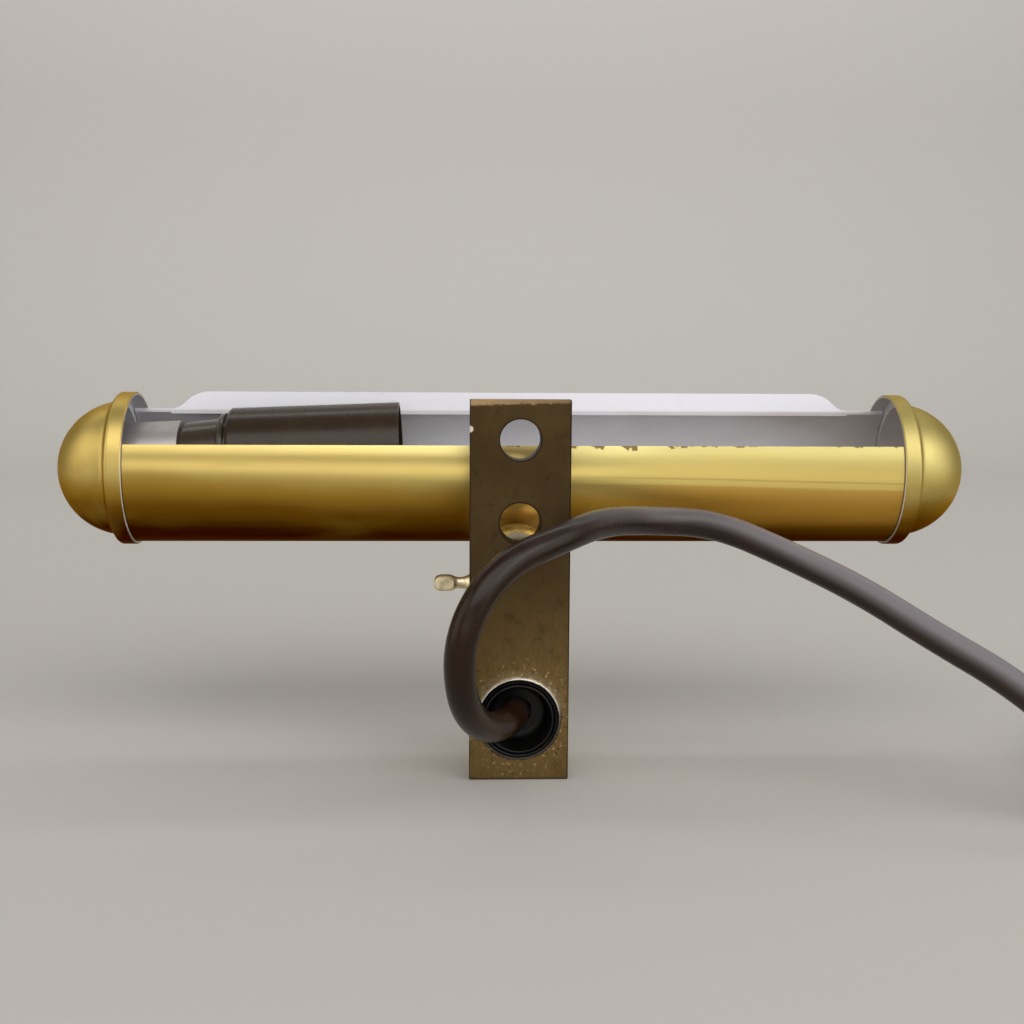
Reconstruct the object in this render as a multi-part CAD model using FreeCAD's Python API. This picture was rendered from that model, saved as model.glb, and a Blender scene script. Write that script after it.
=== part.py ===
import FreeCAD, Part
import math
import os

# Tubular shade lamp on a flat drilled bar, in millimetres.
# +X runs along the shade, +Y away from the bar's free face, +Z up.
# The origin is on the bar's free face, midway between its two bolt holes.

Vector = FreeCAD.Vector
along_x = Vector(1, 0, 0)
along_y = Vector(0, 1, 0)
along_z = Vector(0, 0, 1)

# ---- fits -----------------------------------------------------------------
press_gap = 0.03        # radial, one piece driven into or over another
running_gap = 0.08      # radial, a turning shaft in its hole
face_gap = 0.05         # each side of a sliding face
soft_gap = 0.3          # round a cord or a strap

# ---- bar --------------------------------------------------------------------
bar_width = 25.4
bar_thickness = 6.35
bar_edge = 0.7          # broken edges of the bar
bolt_pitch = 21.0
bolt_hole_d = 10.3
bar_above_bolts = 9.95
cord_hole_below_bolts = 50.5
cord_hole_d = 21.5
bar_below_cord_hole = 16.2

# ---- switch housing ---------------------------------------------------------
housing_d = 19.0
housing_wall = 1.0
dome_below_bolt = 2.3   # top of the dome below the lower bolt hole's centre
spigot_depth = 1.2
spigot_wall = 0.75
front_boss_wall = 1.45
front_boss_depth = 7.6
bore_depth = 4.2
base_lip = 1.7
base_above_bar_end = 1.0
base_spigot = 2.2

# ---- cord entry ---------------------------------------------------------------
ferrule_wall = 0.7
ferrule_proud = 0.5
grommet_proud = 1.0
grommet_mouth_d = 14.0
grommet_length = 9.6
grommet_web = 2.0
clamp_d = 11.0
clamp_length = 2.4

# ---- switch and key -----------------------------------------------------------
key_below_dome = 6.2    # key axis below the dome's centre
switch_length = 11.0
switch_depth = 10.4
switch_height = 9.8
bushing_d = 6.0
bushing_boss_d = 9.6
bushing_boss_reach = 0.5
nut_thickness = 1.9
nut_flats = 8.0
shaft_d = 3.0
shaft_inside = 4.0      # how far the shaft reaches past the bushing's inner end
key_skirt_d = 5.0
key_neck_d = 3.0
key_head_d = 4.5
key_length = 9.8
key_flat = 3.3          # thickness across the head's flats

# ---- shade --------------------------------------------------------------------
shade_length = 249.4
barrel_d = 40.2
barrel_wall = 0.8
cap_proud = 0.75        # how far a cap's rim stands out from the barrel
cap_reach = 21.4        # from a cap's rim to its tip
cap_band = 4.6
cap_round = 1.1         # rounding of the band's outer corner
cap_wall = 0.8
cap_shoulder_drop = 2.75
cap_shoulder_run = 1.9
lap = 3.7               # how far the barrel runs into a cap
nest_gap = 1.15         # between the barrel and the housing's dome
nest_angle = 45.4       # direction from the dome's centre to the shade's axis
window_near_angle = 23.3
window_shift = -0.2     # the lip sits a little off the middle
window_past_top = 12.5  # far edge of the window behind the shade's axis
lip_half_length = 85.5  # straight part of the lip's top
lip_rise = 4.8          # height of the upright lip over the far edge
shoulder_round = 9.5
shoulder_slope = 47.0

# ---- swivel -------------------------------------------------------------------
cup_d = 15.0
cup_depth = 6.0
cup_wall = 1.3
stem_d = 12.0
stem_clear = 0.3
upper_stem = 2.5
nipple_d = 9.7
nipple_bore = 7.0
thread_in = 1.8
nipple_end = 1.0            # threads that show past the locknut
back_boss_d = 13.0
back_boss_reach = 1.6
saddle_d = 14.0
saddle_thickness = 2.0
inner_saddle_thickness = 1.7
locknut_thickness = 3.0
locknut_flats = 14.0
pivot_screw_d = 4.0
screw_head_d = 7.0
screw_head_height = 1.8
pivot_nut_flats = 7.0
pivot_nut_thickness = 2.6
spring_washer_d = 8.4
spring_washer_thickness = 0.6

# ---- lamp holder ----------------------------------------------------------------
holder_from_rim = 11.8      # back of the neck from the left cap's rim
holder_rise = 0.3           # holder axis above the shade's axis, at the neck's back
holder_tilt = 2.2
holder_yaw = 0.5
neck_length = 11.1
neck_back_d = 24.3
neck_front_d = 25.8
neck_floor = 3.0
neck_tube_wall = 1.6
collar_length = 1.9
collar_d = 28.7
collar_groove = 1.1         # the dark line between collar and sleeve
collar_spigot = 5.0
sleeve_reveal = 1.0
sleeve_length = 46.2
sleeve_chamfer = 0.6
sleeve_clear = 1.0          # between the screw shell and the sleeve
sleeve_wall = 0.9
shell_bore_d = 26.6         # takes a medium screw lamp base
shell_wall = 0.5
shell_step = 1.4
shell_length = 24.0
shell_set_in = 6.0
contact_d = 8.0
contact_height = 1.6
bracket_d = 25.4
bracket_length = 10.4       # from the holder's back to the bracket's web
bracket_back = 6.5          # how far its cup reaches on behind the web
bracket_lip = 0.8           # how far the bracket's cup reaches over the neck's rounded back
bracket_wall = 1.0
foot_width = 12.0
foot_length = 20.0
foot_thickness = 1.5
rivet_d = 3.2
rivet_head_d = 5.6
rivet_head = 0.9

# ---- wiring -----------------------------------------------------------------------
lead_d = 2.6
core_d = 3.4
cord_d = 7.4

# ---- cord, coil and plug, on the level of the bar's lower end -------------------------
cord_route = [
    (-0.9, -2.5, -60.5),
    (-9.3, -19.0, -58.6),
    (-15.1, -32.5, -47.4),
    (-15.2, -36.5, -29.8),
    (-5.9, -30.0, -16.1),
    (9.3, -19.0, -11.2),
    (20.7, -4.0, -9.3),
    (34.7, 9.0, -10.9),
    (52.0, 13.0, -12.3),
    (69.5, 5.0, -19.3),
    (85.1, -8.0, -26.3),
    (99.8, -20.0, -35.4),
    (114.5, -30.0, -43.6),
    (128.5, -37.0, -55.2),
    (140.5, -43.5, -66.5),
    (153.5, -50.0, -72.6),
]
coil_centre = (200.0, -16.0)
coil_mid_d = 84.0
coil_columns = 3
coil_layers = 2
coil_start_angle = 230.0
coil_end_angle = 335.0
tie_width = 7.0
tie_thickness = 0.7
tie_angle = 280.0
tail_length = 34.0
plug_relief_length = 20.0
plug_relief_d = 11.0
plug_body_length = 30.0
plug_width = 27.0
plug_height = 24.0
blade_width = 6.35
blade_thickness = 1.5
blade_length = 17.5
blade_pitch = 12.7
pin_d = 4.75
pin_length = 20.6
pin_offset = 11.9
pin_root = 6.0

# ---- places worked out from the sizes ---------------------------------------------
bolt_z = bolt_pitch / 2
bar_top = bolt_z + bar_above_bolts
cord_hole_z = -(bolt_z + cord_hole_below_bolts)
bar_bottom = cord_hole_z - bar_below_cord_hole
housing_r = housing_d / 2
housing_bore_r = housing_r - housing_wall
housing_y = bar_thickness + housing_r
dome_z = -bolt_z - dome_below_bolt - housing_r
key_z = dome_z - key_below_dome
housing_bottom = bar_bottom + base_above_bar_end + base_lip

barrel_r = barrel_d / 2
barrel_bore_r = barrel_r - barrel_wall
cap_rim_d = barrel_d + 2 * cap_proud
nest = barrel_r + housing_r + nest_gap
shade_y = housing_y + nest * math.cos(math.radians(nest_angle))
shade_z = dome_z + nest * math.sin(math.radians(nest_angle))
rim_x = shade_length / 2 - cap_reach
barrel_half = rim_x + lap

cup_r = cup_d / 2
saddle_low = shade_z - barrel_r - saddle_thickness
pivot_z = saddle_low - upper_stem - stem_clear - cup_r
boss_back = housing_y + housing_r + back_boss_reach
floor_z = bar_bottom


def rod(start, axis, diameter, length):
    return Part.makeCylinder(diameter / 2, length, start, axis)


def pipe(start, axis, outer_d, inner_d, length):
    return rod(start, axis, outer_d, length).cut(rod(start, axis, inner_d, length))


def block(x0, x1, y0, y1, z0, z1):
    return Part.makeBox(x1 - x0, y1 - y0, z1 - z0, Vector(x0, y0, z0))


def line(a, b):
    return Part.LineSegment(a, b).toShape()


def arc(a, mid, b):
    return Part.Arc(a, mid, b).toShape()


def prism(points, sweep):
    corners = [Vector(*p) for p in points]
    return Part.Face(Part.makePolygon(corners + corners[:1])).extrude(sweep)


def spin(edges, start, axis):
    return Part.Face(Part.Wire(edges)).revolve(start, axis, 360)


def spin_outline(points, start, axis, radial):
    """Solid of revolution from (distance along the axis, radius) pairs."""
    corners = [start + axis * a + radial * r for a, r in points]
    return Part.Face(Part.makePolygon(corners + corners[:1])).revolve(start, axis, 360)


def hexagon(centre, axis, radial, flats, thickness):
    """Hexagonal prism whose first face is centred on centre."""
    side = axis.cross(radial)
    reach = flats / math.sqrt(3)
    corners = []
    for turn in range(6):
        angle = math.radians(60 * turn + 30)
        corners.append(centre + radial * (reach * math.cos(angle)) + side * (reach * math.sin(angle)))
    return Part.Face(Part.makePolygon(corners + corners[:1])).extrude(axis * thickness)


def save(node, *solids):
    shape = solids[0] if len(solids) == 1 else Part.makeCompound(list(solids))
    found = shape.Solids
    if len(found) == 1:
        shape = found[0]
    shape.exportStep("parts/" + node + ".step")
    print(node, "solids", len(found), "valid", shape.isValid(), "volume", round(shape.Volume, 1))


# ---- bar ----------------------------------------------------------------------------


def make_bar():
    bar = block(-bar_width / 2, bar_width / 2, 0, bar_thickness, bar_bottom, bar_top)
    bar = bar.makeChamfer(bar_edge, [e for e in bar.Edges if is_broken_edge(e)])
    for z in (-bolt_z, bolt_z):
        bar = bar.cut(rod(Vector(0, -1, z), along_y, bolt_hole_d, bar_thickness + 2))
    return bar.cut(rod(Vector(0, -1, cord_hole_z), along_y, cord_hole_d, bar_thickness + 2))


def is_broken_edge(edge):
    """The short edges of both ends."""
    box = edge.BoundBox
    return box.XLength > bar_width / 2


# ---- housing --------------------------------------------------------------------------


def make_housing():
    centre = Vector(0, housing_y, housing_bottom)
    tall = dome_z - housing_bottom
    body = rod(centre, along_z, housing_d, tall)
    front = rod(Vector(0, bar_thickness, cord_hole_z), along_y, cord_hole_d + 2 * front_boss_wall,
                front_boss_depth)
    back = rod(Vector(0, housing_y, pivot_z), along_y, back_boss_d, boss_back - housing_y)
    side = rod(Vector(0, housing_y, key_z), -along_x, bushing_boss_d, housing_r + bushing_boss_reach)
    body = body.fuse([front, back, side])
    inside = rod(centre, along_z, housing_d - 2 * housing_wall, tall)
    mouth = rod(Vector(0, bar_thickness, cord_hole_z), along_y, cord_hole_d, bore_depth)
    way = rod(Vector(0, bar_thickness, cord_hole_z), along_y, grommet_mouth_d, housing_r)
    rear_bore = rod(Vector(0, housing_y, pivot_z), along_y, nipple_d + 2 * press_gap, housing_d)
    key_bore = rod(Vector(0, housing_y, key_z), -along_x, bushing_d + 2 * press_gap, housing_d)
    body = body.cut(inside).cut(mouth).cut(way).cut(rear_bore)
    return body.cut(key_bore).removeSplitter()


def make_dome():
    """Half-round cap whose spigot drops into the tube."""
    start = Vector(0, housing_y, dome_z)
    spigot_r = housing_bore_r - press_gap
    inner_r = spigot_r - spigot_wall

    def at(r, z):
        return start + along_x * r + along_z * z

    def on_ball(radius, r):
        return at(r, math.sqrt(radius ** 2 - r ** 2))

    edges = [
        arc(at(housing_r, 0), on_ball(housing_r, housing_r * 0.7), at(0, housing_r)),
        line(at(0, housing_r), at(0, housing_bore_r)),
        arc(at(0, housing_bore_r), on_ball(housing_bore_r, inner_r * 0.6), on_ball(housing_bore_r, inner_r)),
        line(on_ball(housing_bore_r, inner_r), at(inner_r, -spigot_depth)),
        line(at(inner_r, -spigot_depth), at(spigot_r, -spigot_depth)),
        line(at(spigot_r, -spigot_depth), at(spigot_r, 0)),
        line(at(spigot_r, 0), at(housing_r, 0)),
    ]
    return spin(edges, start, along_z)


def make_base():
    lip_low = housing_bottom - base_lip
    outline = [(0, 0), (0, housing_r - 1.2), (0.5, housing_r - 0.4), (base_lip - 0.5, housing_r),
               (base_lip, housing_r), (base_lip, housing_bore_r - press_gap),
               (base_lip + base_spigot, housing_bore_r - press_gap), (base_lip + base_spigot, 0)]
    return spin_outline(outline, Vector(0, housing_y, lip_low), along_z, along_x)


# ---- cord entry --------------------------------------------------------------------------


ferrule_d = cord_hole_d - 2 * press_gap
grommet_d = ferrule_d - 2 * ferrule_wall - 2 * press_gap


def make_ferrule():
    length = ferrule_proud + bar_thickness + bore_depth
    return pipe(Vector(0, -ferrule_proud, cord_hole_z), along_y, ferrule_d,
                ferrule_d - 2 * ferrule_wall, length)


def make_grommet():
    """Ribbed rubber bush: two rounded rings at the mouth and a web round the cord."""
    out_r = grommet_d / 2
    mouth_r = grommet_mouth_d / 2
    ring = (out_r - mouth_r) / 2
    middle = mouth_r + ring
    start = Vector(0, -grommet_proud, cord_hole_z)
    web_back = grommet_length - grommet_web

    def at(a, r):
        return start + along_y * a + along_x * r

    edges = [
        line(at(grommet_length, cord_d / 2), at(grommet_length, out_r)),
        line(at(grommet_length, out_r), at(0.7, out_r)),
        arc(at(0.7, out_r), at(0, out_r - ring * 0.45), at(0.9, middle)),
        arc(at(0.9, middle), at(0.5, mouth_r + ring * 0.5), at(1.1, mouth_r)),
        line(at(1.1, mouth_r), at(web_back, mouth_r - 0.5)),
        line(at(web_back, mouth_r - 0.5), at(web_back, cord_d / 2)),
        line(at(web_back, cord_d / 2), at(grommet_length, cord_d / 2)),
    ]
    return spin(edges, start, along_y)


clamp_y = grommet_length - grommet_proud + soft_gap
cord_end_y = clamp_y + clamp_length


def make_clamp():
    """Crimped ring that keeps the cord from being pulled out of the bush."""
    return pipe(Vector(0, clamp_y, cord_hole_z), along_y, clamp_d, cord_d, clamp_length)


# ---- switch and key ---------------------------------------------------------------------------


seat_x = -(housing_r + bushing_boss_reach)
bushing_outer_x = seat_x - nut_thickness - 0.2
switch_left = -switch_length / 2
skirt_x = bushing_outer_x - face_gap


def make_switch_body():
    body = block(switch_left, switch_length / 2, housing_y - switch_depth / 2,
                 housing_y + switch_depth / 2, key_z - switch_height / 2, key_z + switch_height / 2)
    body = body.makeFillet(0.6, body.Edges)
    well = rod(Vector(switch_left, housing_y, key_z), along_x, shaft_d + 2 * running_gap,
               shaft_inside + running_gap)
    return body.cut(well)


def make_bushing():
    return pipe(Vector(switch_left, housing_y, key_z), -along_x, bushing_d,
                shaft_d + 2 * running_gap, switch_left - bushing_outer_x)


def make_bushing_nut():
    nut = hexagon(Vector(seat_x, housing_y, key_z), -along_x, along_z, nut_flats, nut_thickness)
    return nut.cut(rod(Vector(seat_x, housing_y, key_z), -along_x, bushing_d + 2 * press_gap,
                       nut_thickness))


def make_shaft():
    inner_x = switch_left + shaft_inside
    return rod(Vector(inner_x, housing_y, key_z), -along_x, shaft_d, inner_x - skirt_x)


def make_key():
    """Turned key: flared skirt, waist and an oval head with two flats."""
    head_r = key_head_d / 2
    neck_r = key_neck_d / 2
    skirt_r = key_skirt_d / 2
    start = Vector(skirt_x, housing_y, key_z)
    waist = key_length * 0.3
    shoulder = key_length * 0.5

    def at(a, r):
        return start - along_x * a + along_z * r

    edges = [
        line(at(0, 0), at(0, skirt_r)),
        line(at(0, skirt_r), at(0.35, skirt_r)),
        arc(at(0.35, skirt_r), at(waist * 0.5, neck_r + 0.28), at(waist, neck_r)),
        arc(at(waist, neck_r), at(shoulder * 0.88, neck_r + 0.2), at(shoulder, head_r - 0.25)),
        arc(at(shoulder, head_r - 0.25), at(key_length * 0.68, head_r), at(key_length * 0.88, head_r - 0.2)),
        arc(at(key_length * 0.88, head_r - 0.2), at(key_length * 0.965, head_r * 0.68),
            at(key_length, head_r * 0.3)),
        line(at(key_length, head_r * 0.3), at(key_length, 0)),
        line(at(key_length, 0), at(0, 0)),
    ]
    body = spin(edges, start, along_x)
    grip = block(skirt_x - key_length - 1, skirt_x - shoulder + 0.3, housing_y - key_flat / 2,
                 housing_y + key_flat / 2, key_z - key_head_d, key_z + key_head_d)
    stem = block(skirt_x - shoulder + 0.3, skirt_x + 1, housing_y - key_skirt_d, housing_y + key_skirt_d,
                 key_z - key_skirt_d, key_z + key_skirt_d)
    return body.common(grip.fuse(stem)).removeSplitter()


# ---- swivel ----------------------------------------------------------------------------------------


def swivel_half(side, stem_axis, stem_length):
    """One hollow cup of the swivel with its threaded stem; side is -1 or 1 along X."""
    centre = Vector(0, shade_y, pivot_z)
    mate = centre + along_x * (side * face_gap)
    outward = along_x * side
    cup = rod(mate, outward, cup_d, cup_depth)
    root = cup_r + stem_clear
    stem = rod(centre + stem_axis * root, stem_axis, stem_d, stem_length)
    web = rod(centre, stem_axis, stem_d, root)
    keep = block(face_gap, cup_d, shade_y - cup_d, shade_y + cup_d, pivot_z - cup_d, pivot_z + cup_d * 2)
    if side < 0:
        keep = keep.mirror(Vector(0, 0, 0), along_x)
    half = cup.fuse([stem, web.common(keep)])
    hollow = rod(mate, outward, cup_d - 2 * cup_wall, cup_depth - cup_wall)
    wire_way = rod(centre, stem_axis, nipple_bore, root + stem_length)
    thread = rod(centre + stem_axis * (root + stem_length - thread_in), stem_axis,
                 nipple_d + 2 * press_gap, thread_in)
    half = half.cut(hollow).cut(wire_way.common(keep.fuse(stem))).cut(thread)
    return half.cut(rod(mate, outward, pivot_screw_d + 2 * running_gap, cup_depth)).removeSplitter()


lower_stem = shade_y - cup_r - stem_clear - boss_back


def make_swivel_lower():
    return swivel_half(-1, -along_y, lower_stem)


def make_swivel_upper():
    return swivel_half(1, along_z, upper_stem)


def make_pivot_screw():
    """Cheese-head screw through both cups, head on the upper cup's side."""
    head_x = face_gap + cup_depth + spring_washer_thickness
    end_x = -(face_gap + cup_depth + pivot_nut_thickness + 0.8)
    centre = Vector(end_x, shade_y, pivot_z)
    screw = rod(centre, along_x, pivot_screw_d, head_x - end_x)
    head = rod(Vector(head_x, shade_y, pivot_z), along_x, screw_head_d, screw_head_height)
    slot = block(head_x + screw_head_height * 0.5, head_x + screw_head_height, shade_y - screw_head_d,
                 shade_y + screw_head_d, pivot_z - 0.5, pivot_z + 0.5)
    return screw.fuse(head.cut(slot)).removeSplitter()


def make_pivot_nut():
    seat = Vector(-(face_gap + cup_depth), shade_y, pivot_z)
    nut = hexagon(seat, -along_x, along_z, pivot_nut_flats, pivot_nut_thickness)
    return nut.cut(rod(seat, -along_x, pivot_screw_d + 2 * press_gap, pivot_nut_thickness))


def make_spring_washer():
    seat = Vector(face_gap + cup_depth + face_gap, shade_y, pivot_z)
    return pipe(seat, along_x, spring_washer_d, pivot_screw_d + 2 * running_gap,
                spring_washer_thickness - face_gap)


def make_rear_nipple():
    start = housing_y + housing_bore_r
    end = boss_back + thread_in
    return pipe(Vector(0, start, pivot_z), along_y, nipple_d, nipple_bore, end - start)


def make_shade_nipple():
    start = saddle_low - thread_in
    end = shade_z - barrel_bore_r + inner_saddle_thickness + locknut_thickness + nipple_end
    return pipe(Vector(0, shade_y, start), along_z, nipple_d, nipple_bore, end - start)


def make_outer_saddle():
    """Round pad whose top follows the barrel."""
    pad = rod(Vector(0, shade_y, saddle_low), along_z, saddle_d, saddle_thickness + 3)
    pad = pad.cut(rod(Vector(-saddle_d, shade_y, shade_z), along_x, barrel_d + 2 * press_gap, 2 * saddle_d))
    return pad.cut(rod(Vector(0, shade_y, saddle_low), along_z, nipple_d + 2 * press_gap, 8))


def make_inner_saddle():
    """Pad inside the barrel with a flat top for the locknut."""
    top = shade_z - barrel_bore_r + inner_saddle_thickness
    pad = rod(Vector(0, shade_y, top - 3), along_z, saddle_d, 3)
    pad = pad.common(rod(Vector(-saddle_d, shade_y, shade_z), along_x, 2 * (barrel_bore_r - press_gap),
                         2 * saddle_d))
    return pad.cut(rod(Vector(0, shade_y, top - 4), along_z, nipple_d + 2 * press_gap, 8))


def make_locknut():
    seat = Vector(0, shade_y, shade_z - barrel_bore_r + inner_saddle_thickness)
    nut = hexagon(seat, along_z, along_y, locknut_flats, locknut_thickness)
    return nut.cut(rod(seat, along_z, nipple_d + 2 * press_gap, locknut_thickness))


# ---- shade -----------------------------------------------------------------------------------------


def make_barrel():
    """Sheet tube with a long window; the window's far edge is bent up into a lip."""
    start = Vector(-barrel_half, shade_y, shade_z)
    tube = pipe(start, along_x, barrel_d, 2 * barrel_bore_r, 2 * barrel_half)
    tube = tube.cut(window_cut()).fuse(make_lip())
    nipple_hole = rod(Vector(0, shade_y, shade_z - barrel_d), along_z, nipple_d + 2 * press_gap, barrel_d)
    tube = tube.cut(nipple_hole)
    for x in rivet_places():
        tube = tube.cut(rod(Vector(x, shade_y, shade_z - barrel_d), along_z, rivet_d + 2 * press_gap,
                            barrel_d))
    return tube


def window_cut():
    """Everything above the near edge and this side of the far edge."""
    angle = math.radians(window_near_angle)
    far = barrel_d
    deep = window_past_top
    outline = [(0, 0), (-far * math.cos(angle), far * math.sin(angle)), (-far, far), (deep, far), (deep, 0)]
    points = [(-barrel_half - 1, shade_y + y, shade_z + z) for y, z in outline]
    return prism(points, along_x * (2 * barrel_half + 2))


def wall_top(y):
    """Height of the barrel's outside at a distance behind the shade's axis."""
    return shade_z + math.sqrt(barrel_r ** 2 - y ** 2)


def make_lip():
    """Upright strip on the far edge of the window, with a rounded shoulder at each end."""
    near = shade_y + window_past_top
    low = wall_top(window_past_top)
    root = wall_top(window_past_top + barrel_wall) - barrel_wall
    top = wall_top(window_past_top) + lip_rise
    slope = math.radians(shoulder_slope)
    hollow_round = (top - low) / (1 - math.cos(slope)) - shoulder_round

    def on_round(radius, turn):
        return radius * math.sin(turn), radius * (1 - math.cos(turn))

    edges = []
    for side in (-1, 1):
        def at(run, drop):
            return Vector(window_shift + side * (lip_half_length + run), near, top - drop)

        turn_run, turn_drop = on_round(shoulder_round, slope)
        mid_run, mid_drop = on_round(shoulder_round, slope / 2)
        end_run = turn_run + on_round(hollow_round, slope)[0]
        back_run, back_drop = on_round(hollow_round, slope / 2)
        edges.append(arc(at(0, 0), at(mid_run, mid_drop), at(turn_run, turn_drop)))
        edges.append(arc(at(turn_run, turn_drop), at(end_run - back_run, top - low - back_drop),
                         at(end_run, top - low)))
        edges.append(line(at(end_run, top - low), at(end_run, top - root)))
    ends = (window_shift - lip_half_length, window_shift + lip_half_length)
    edges.append(line(Vector(ends[0], near, top), Vector(ends[1], near, top)))
    edges.append(line(Vector(ends[0] - end_run, near, root), Vector(ends[1] + end_run, near, root)))
    return Part.Face(Part.Wire(Part.__sortEdges__(edges))).extrude(along_y * barrel_wall)


def make_cap():
    """Right-hand cap: rim band over the barrel, hollow step and round dome."""
    rim_r = cap_rim_d / 2
    bore_r = barrel_r + press_gap
    band_x = rim_x + cap_band
    shoulder_x = band_x + cap_shoulder_run
    shoulder_r = rim_r - cap_shoulder_drop
    tip_x = rim_x + cap_reach
    ball_x = (tip_x ** 2 - shoulder_x ** 2 - shoulder_r ** 2) / (2 * (tip_x - shoulder_x))
    ball_r = tip_x - ball_x
    hollow_r = ball_r - cap_wall
    edge = 0.3
    start = Vector(0, shade_y, shade_z)

    def at(x, r):
        return start + along_x * x + along_z * r

    def on_ball(radius, x):
        return at(x, math.sqrt(radius ** 2 - (x - ball_x) ** 2))

    throat_x = max(ball_x, barrel_half) + 0.2
    throat = on_ball(hollow_r, throat_x)
    edges = [
        line(at(rim_x, bore_r), at(rim_x, rim_r - edge)),
        line(at(rim_x, rim_r - edge), at(rim_x + edge, rim_r)),
        line(at(rim_x + edge, rim_r), at(band_x - cap_round, rim_r)),
        arc(at(band_x - cap_round, rim_r), at(band_x - cap_round * 0.29, rim_r - cap_round * 0.29),
            at(band_x, rim_r - cap_round)),
        arc(at(band_x, rim_r - cap_round), at(band_x + cap_shoulder_run * 0.36, shoulder_r + 0.55),
            at(shoulder_x, shoulder_r)),
        arc(at(shoulder_x, shoulder_r), on_ball(ball_r, ball_x + ball_r * 0.72), at(tip_x, 0)),
        line(at(tip_x, 0), at(tip_x - cap_wall, 0)),
        arc(at(tip_x - cap_wall, 0), on_ball(hollow_r, ball_x + hollow_r * 0.72), throat),
        line(throat, at(barrel_half + 0.2, bore_r)),
        line(at(barrel_half + 0.2, bore_r), at(rim_x, bore_r)),
    ]
    return spin(edges, start, along_x)


# ---- lamp holder --------------------------------------------------------------------------------------


holder_back_x = -rim_x + holder_from_rim
holder_origin = Vector(holder_back_x, shade_y, shade_z + holder_rise)


def tip_holder(shape):
    """Turns a piece drawn along X from the origin to the holder's slightly raised axis."""
    turned = shape.copy()
    turned.rotate(Vector(0, 0, 0), along_y, -holder_tilt)
    turned.rotate(Vector(0, 0, 0), along_z, holder_yaw)
    turned.translate(holder_origin)
    return turned


sleeve_start = neck_length + collar_length + sleeve_reveal
shell_seat = sleeve_start + shell_set_in
shell_outer_r = shell_bore_d / 2 + shell_wall
sleeve_bore_r = shell_outer_r + sleeve_clear
sleeve_d = 2 * (sleeve_bore_r + sleeve_wall)
tube_r = shell_outer_r - shell_step


def make_neck():
    """Moulded base of the holder: tapered outside, with the tube that carries the shell."""
    back_r = neck_back_d / 2
    front_r = neck_front_d / 2
    hollow_r = tube_r - neck_tube_wall
    lead_r = lead_d / 2 + soft_gap
    outline = [(0, lead_r), (0, back_r - 1.6), (0.6, back_r - 0.6), (2.0, back_r), (neck_length, front_r),
               (neck_length, tube_r), (shell_seat, tube_r), (shell_seat, hollow_r),
               (neck_length - neck_floor, hollow_r), (neck_length - neck_floor, lead_r)]
    return tip_holder(spin_outline(outline, Vector(0, 0, 0), along_x, along_z))


def make_collar():
    """Ring between neck and sleeve, with a spigot inside the sleeve."""
    inner_r = tube_r + press_gap
    out_r = collar_d / 2
    end = neck_length + collar_length
    groove_r = out_r - collar_groove
    groove_end = end + sleeve_reveal + 0.3
    spigot_r = sleeve_bore_r - press_gap
    outline = [(neck_length, inner_r), (neck_length, out_r - 1.2), (neck_length + 0.6, out_r - 0.3),
               (neck_length + 1.2, out_r), (end, out_r), (end, groove_r), (groove_end, groove_r),
               (groove_end, spigot_r), (end + collar_spigot, spigot_r), (end + collar_spigot, inner_r)]
    return tip_holder(spin_outline(outline, Vector(0, 0, 0), along_x, along_z))


def make_sleeve():
    """Fibre tube over the shell, its outer edge eased where it meets the collar."""
    out_r = sleeve_d / 2
    end = sleeve_start + sleeve_length
    outline = [(sleeve_start, sleeve_bore_r), (sleeve_start, out_r - sleeve_chamfer),
               (sleeve_start + 1.3 * sleeve_chamfer, out_r), (end, out_r), (end, sleeve_bore_r)]
    return tip_holder(spin_outline(outline, Vector(0, 0, 0), along_x, along_z))


def make_shell():
    """Pressed screw shell whose flanged floor seats on the end of the neck's tube."""
    start = Vector(shell_seat, 0, 0)
    wall = pipe(start, along_x, 2 * shell_outer_r, shell_bore_d, shell_length)
    floor = pipe(start, along_x, shell_bore_d + shell_wall, contact_d + 3.0, shell_wall)
    return tip_holder(wall.fuse(floor).removeSplitter())


def make_contact():
    """Centre contact on its stalk from the neck's floor."""
    floor = neck_length - neck_floor
    under = shell_seat + shell_wall + 1.0
    stalk = rod(Vector(floor, 0, 0), along_x, contact_d - 3.0, under - floor)
    top = rod(Vector(under, 0, 0), along_x, contact_d, contact_height)
    top = top.makeFillet(contact_height * 0.35, [e for e in top.Edges if e.BoundBox.XMin > under + 0.1])
    return tip_holder(stalk.fuse(top).removeSplitter())


def rivet_places():
    back = holder_back_x - bracket_length
    return [back + foot_length * 0.62, back + foot_length * 0.88]


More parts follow.
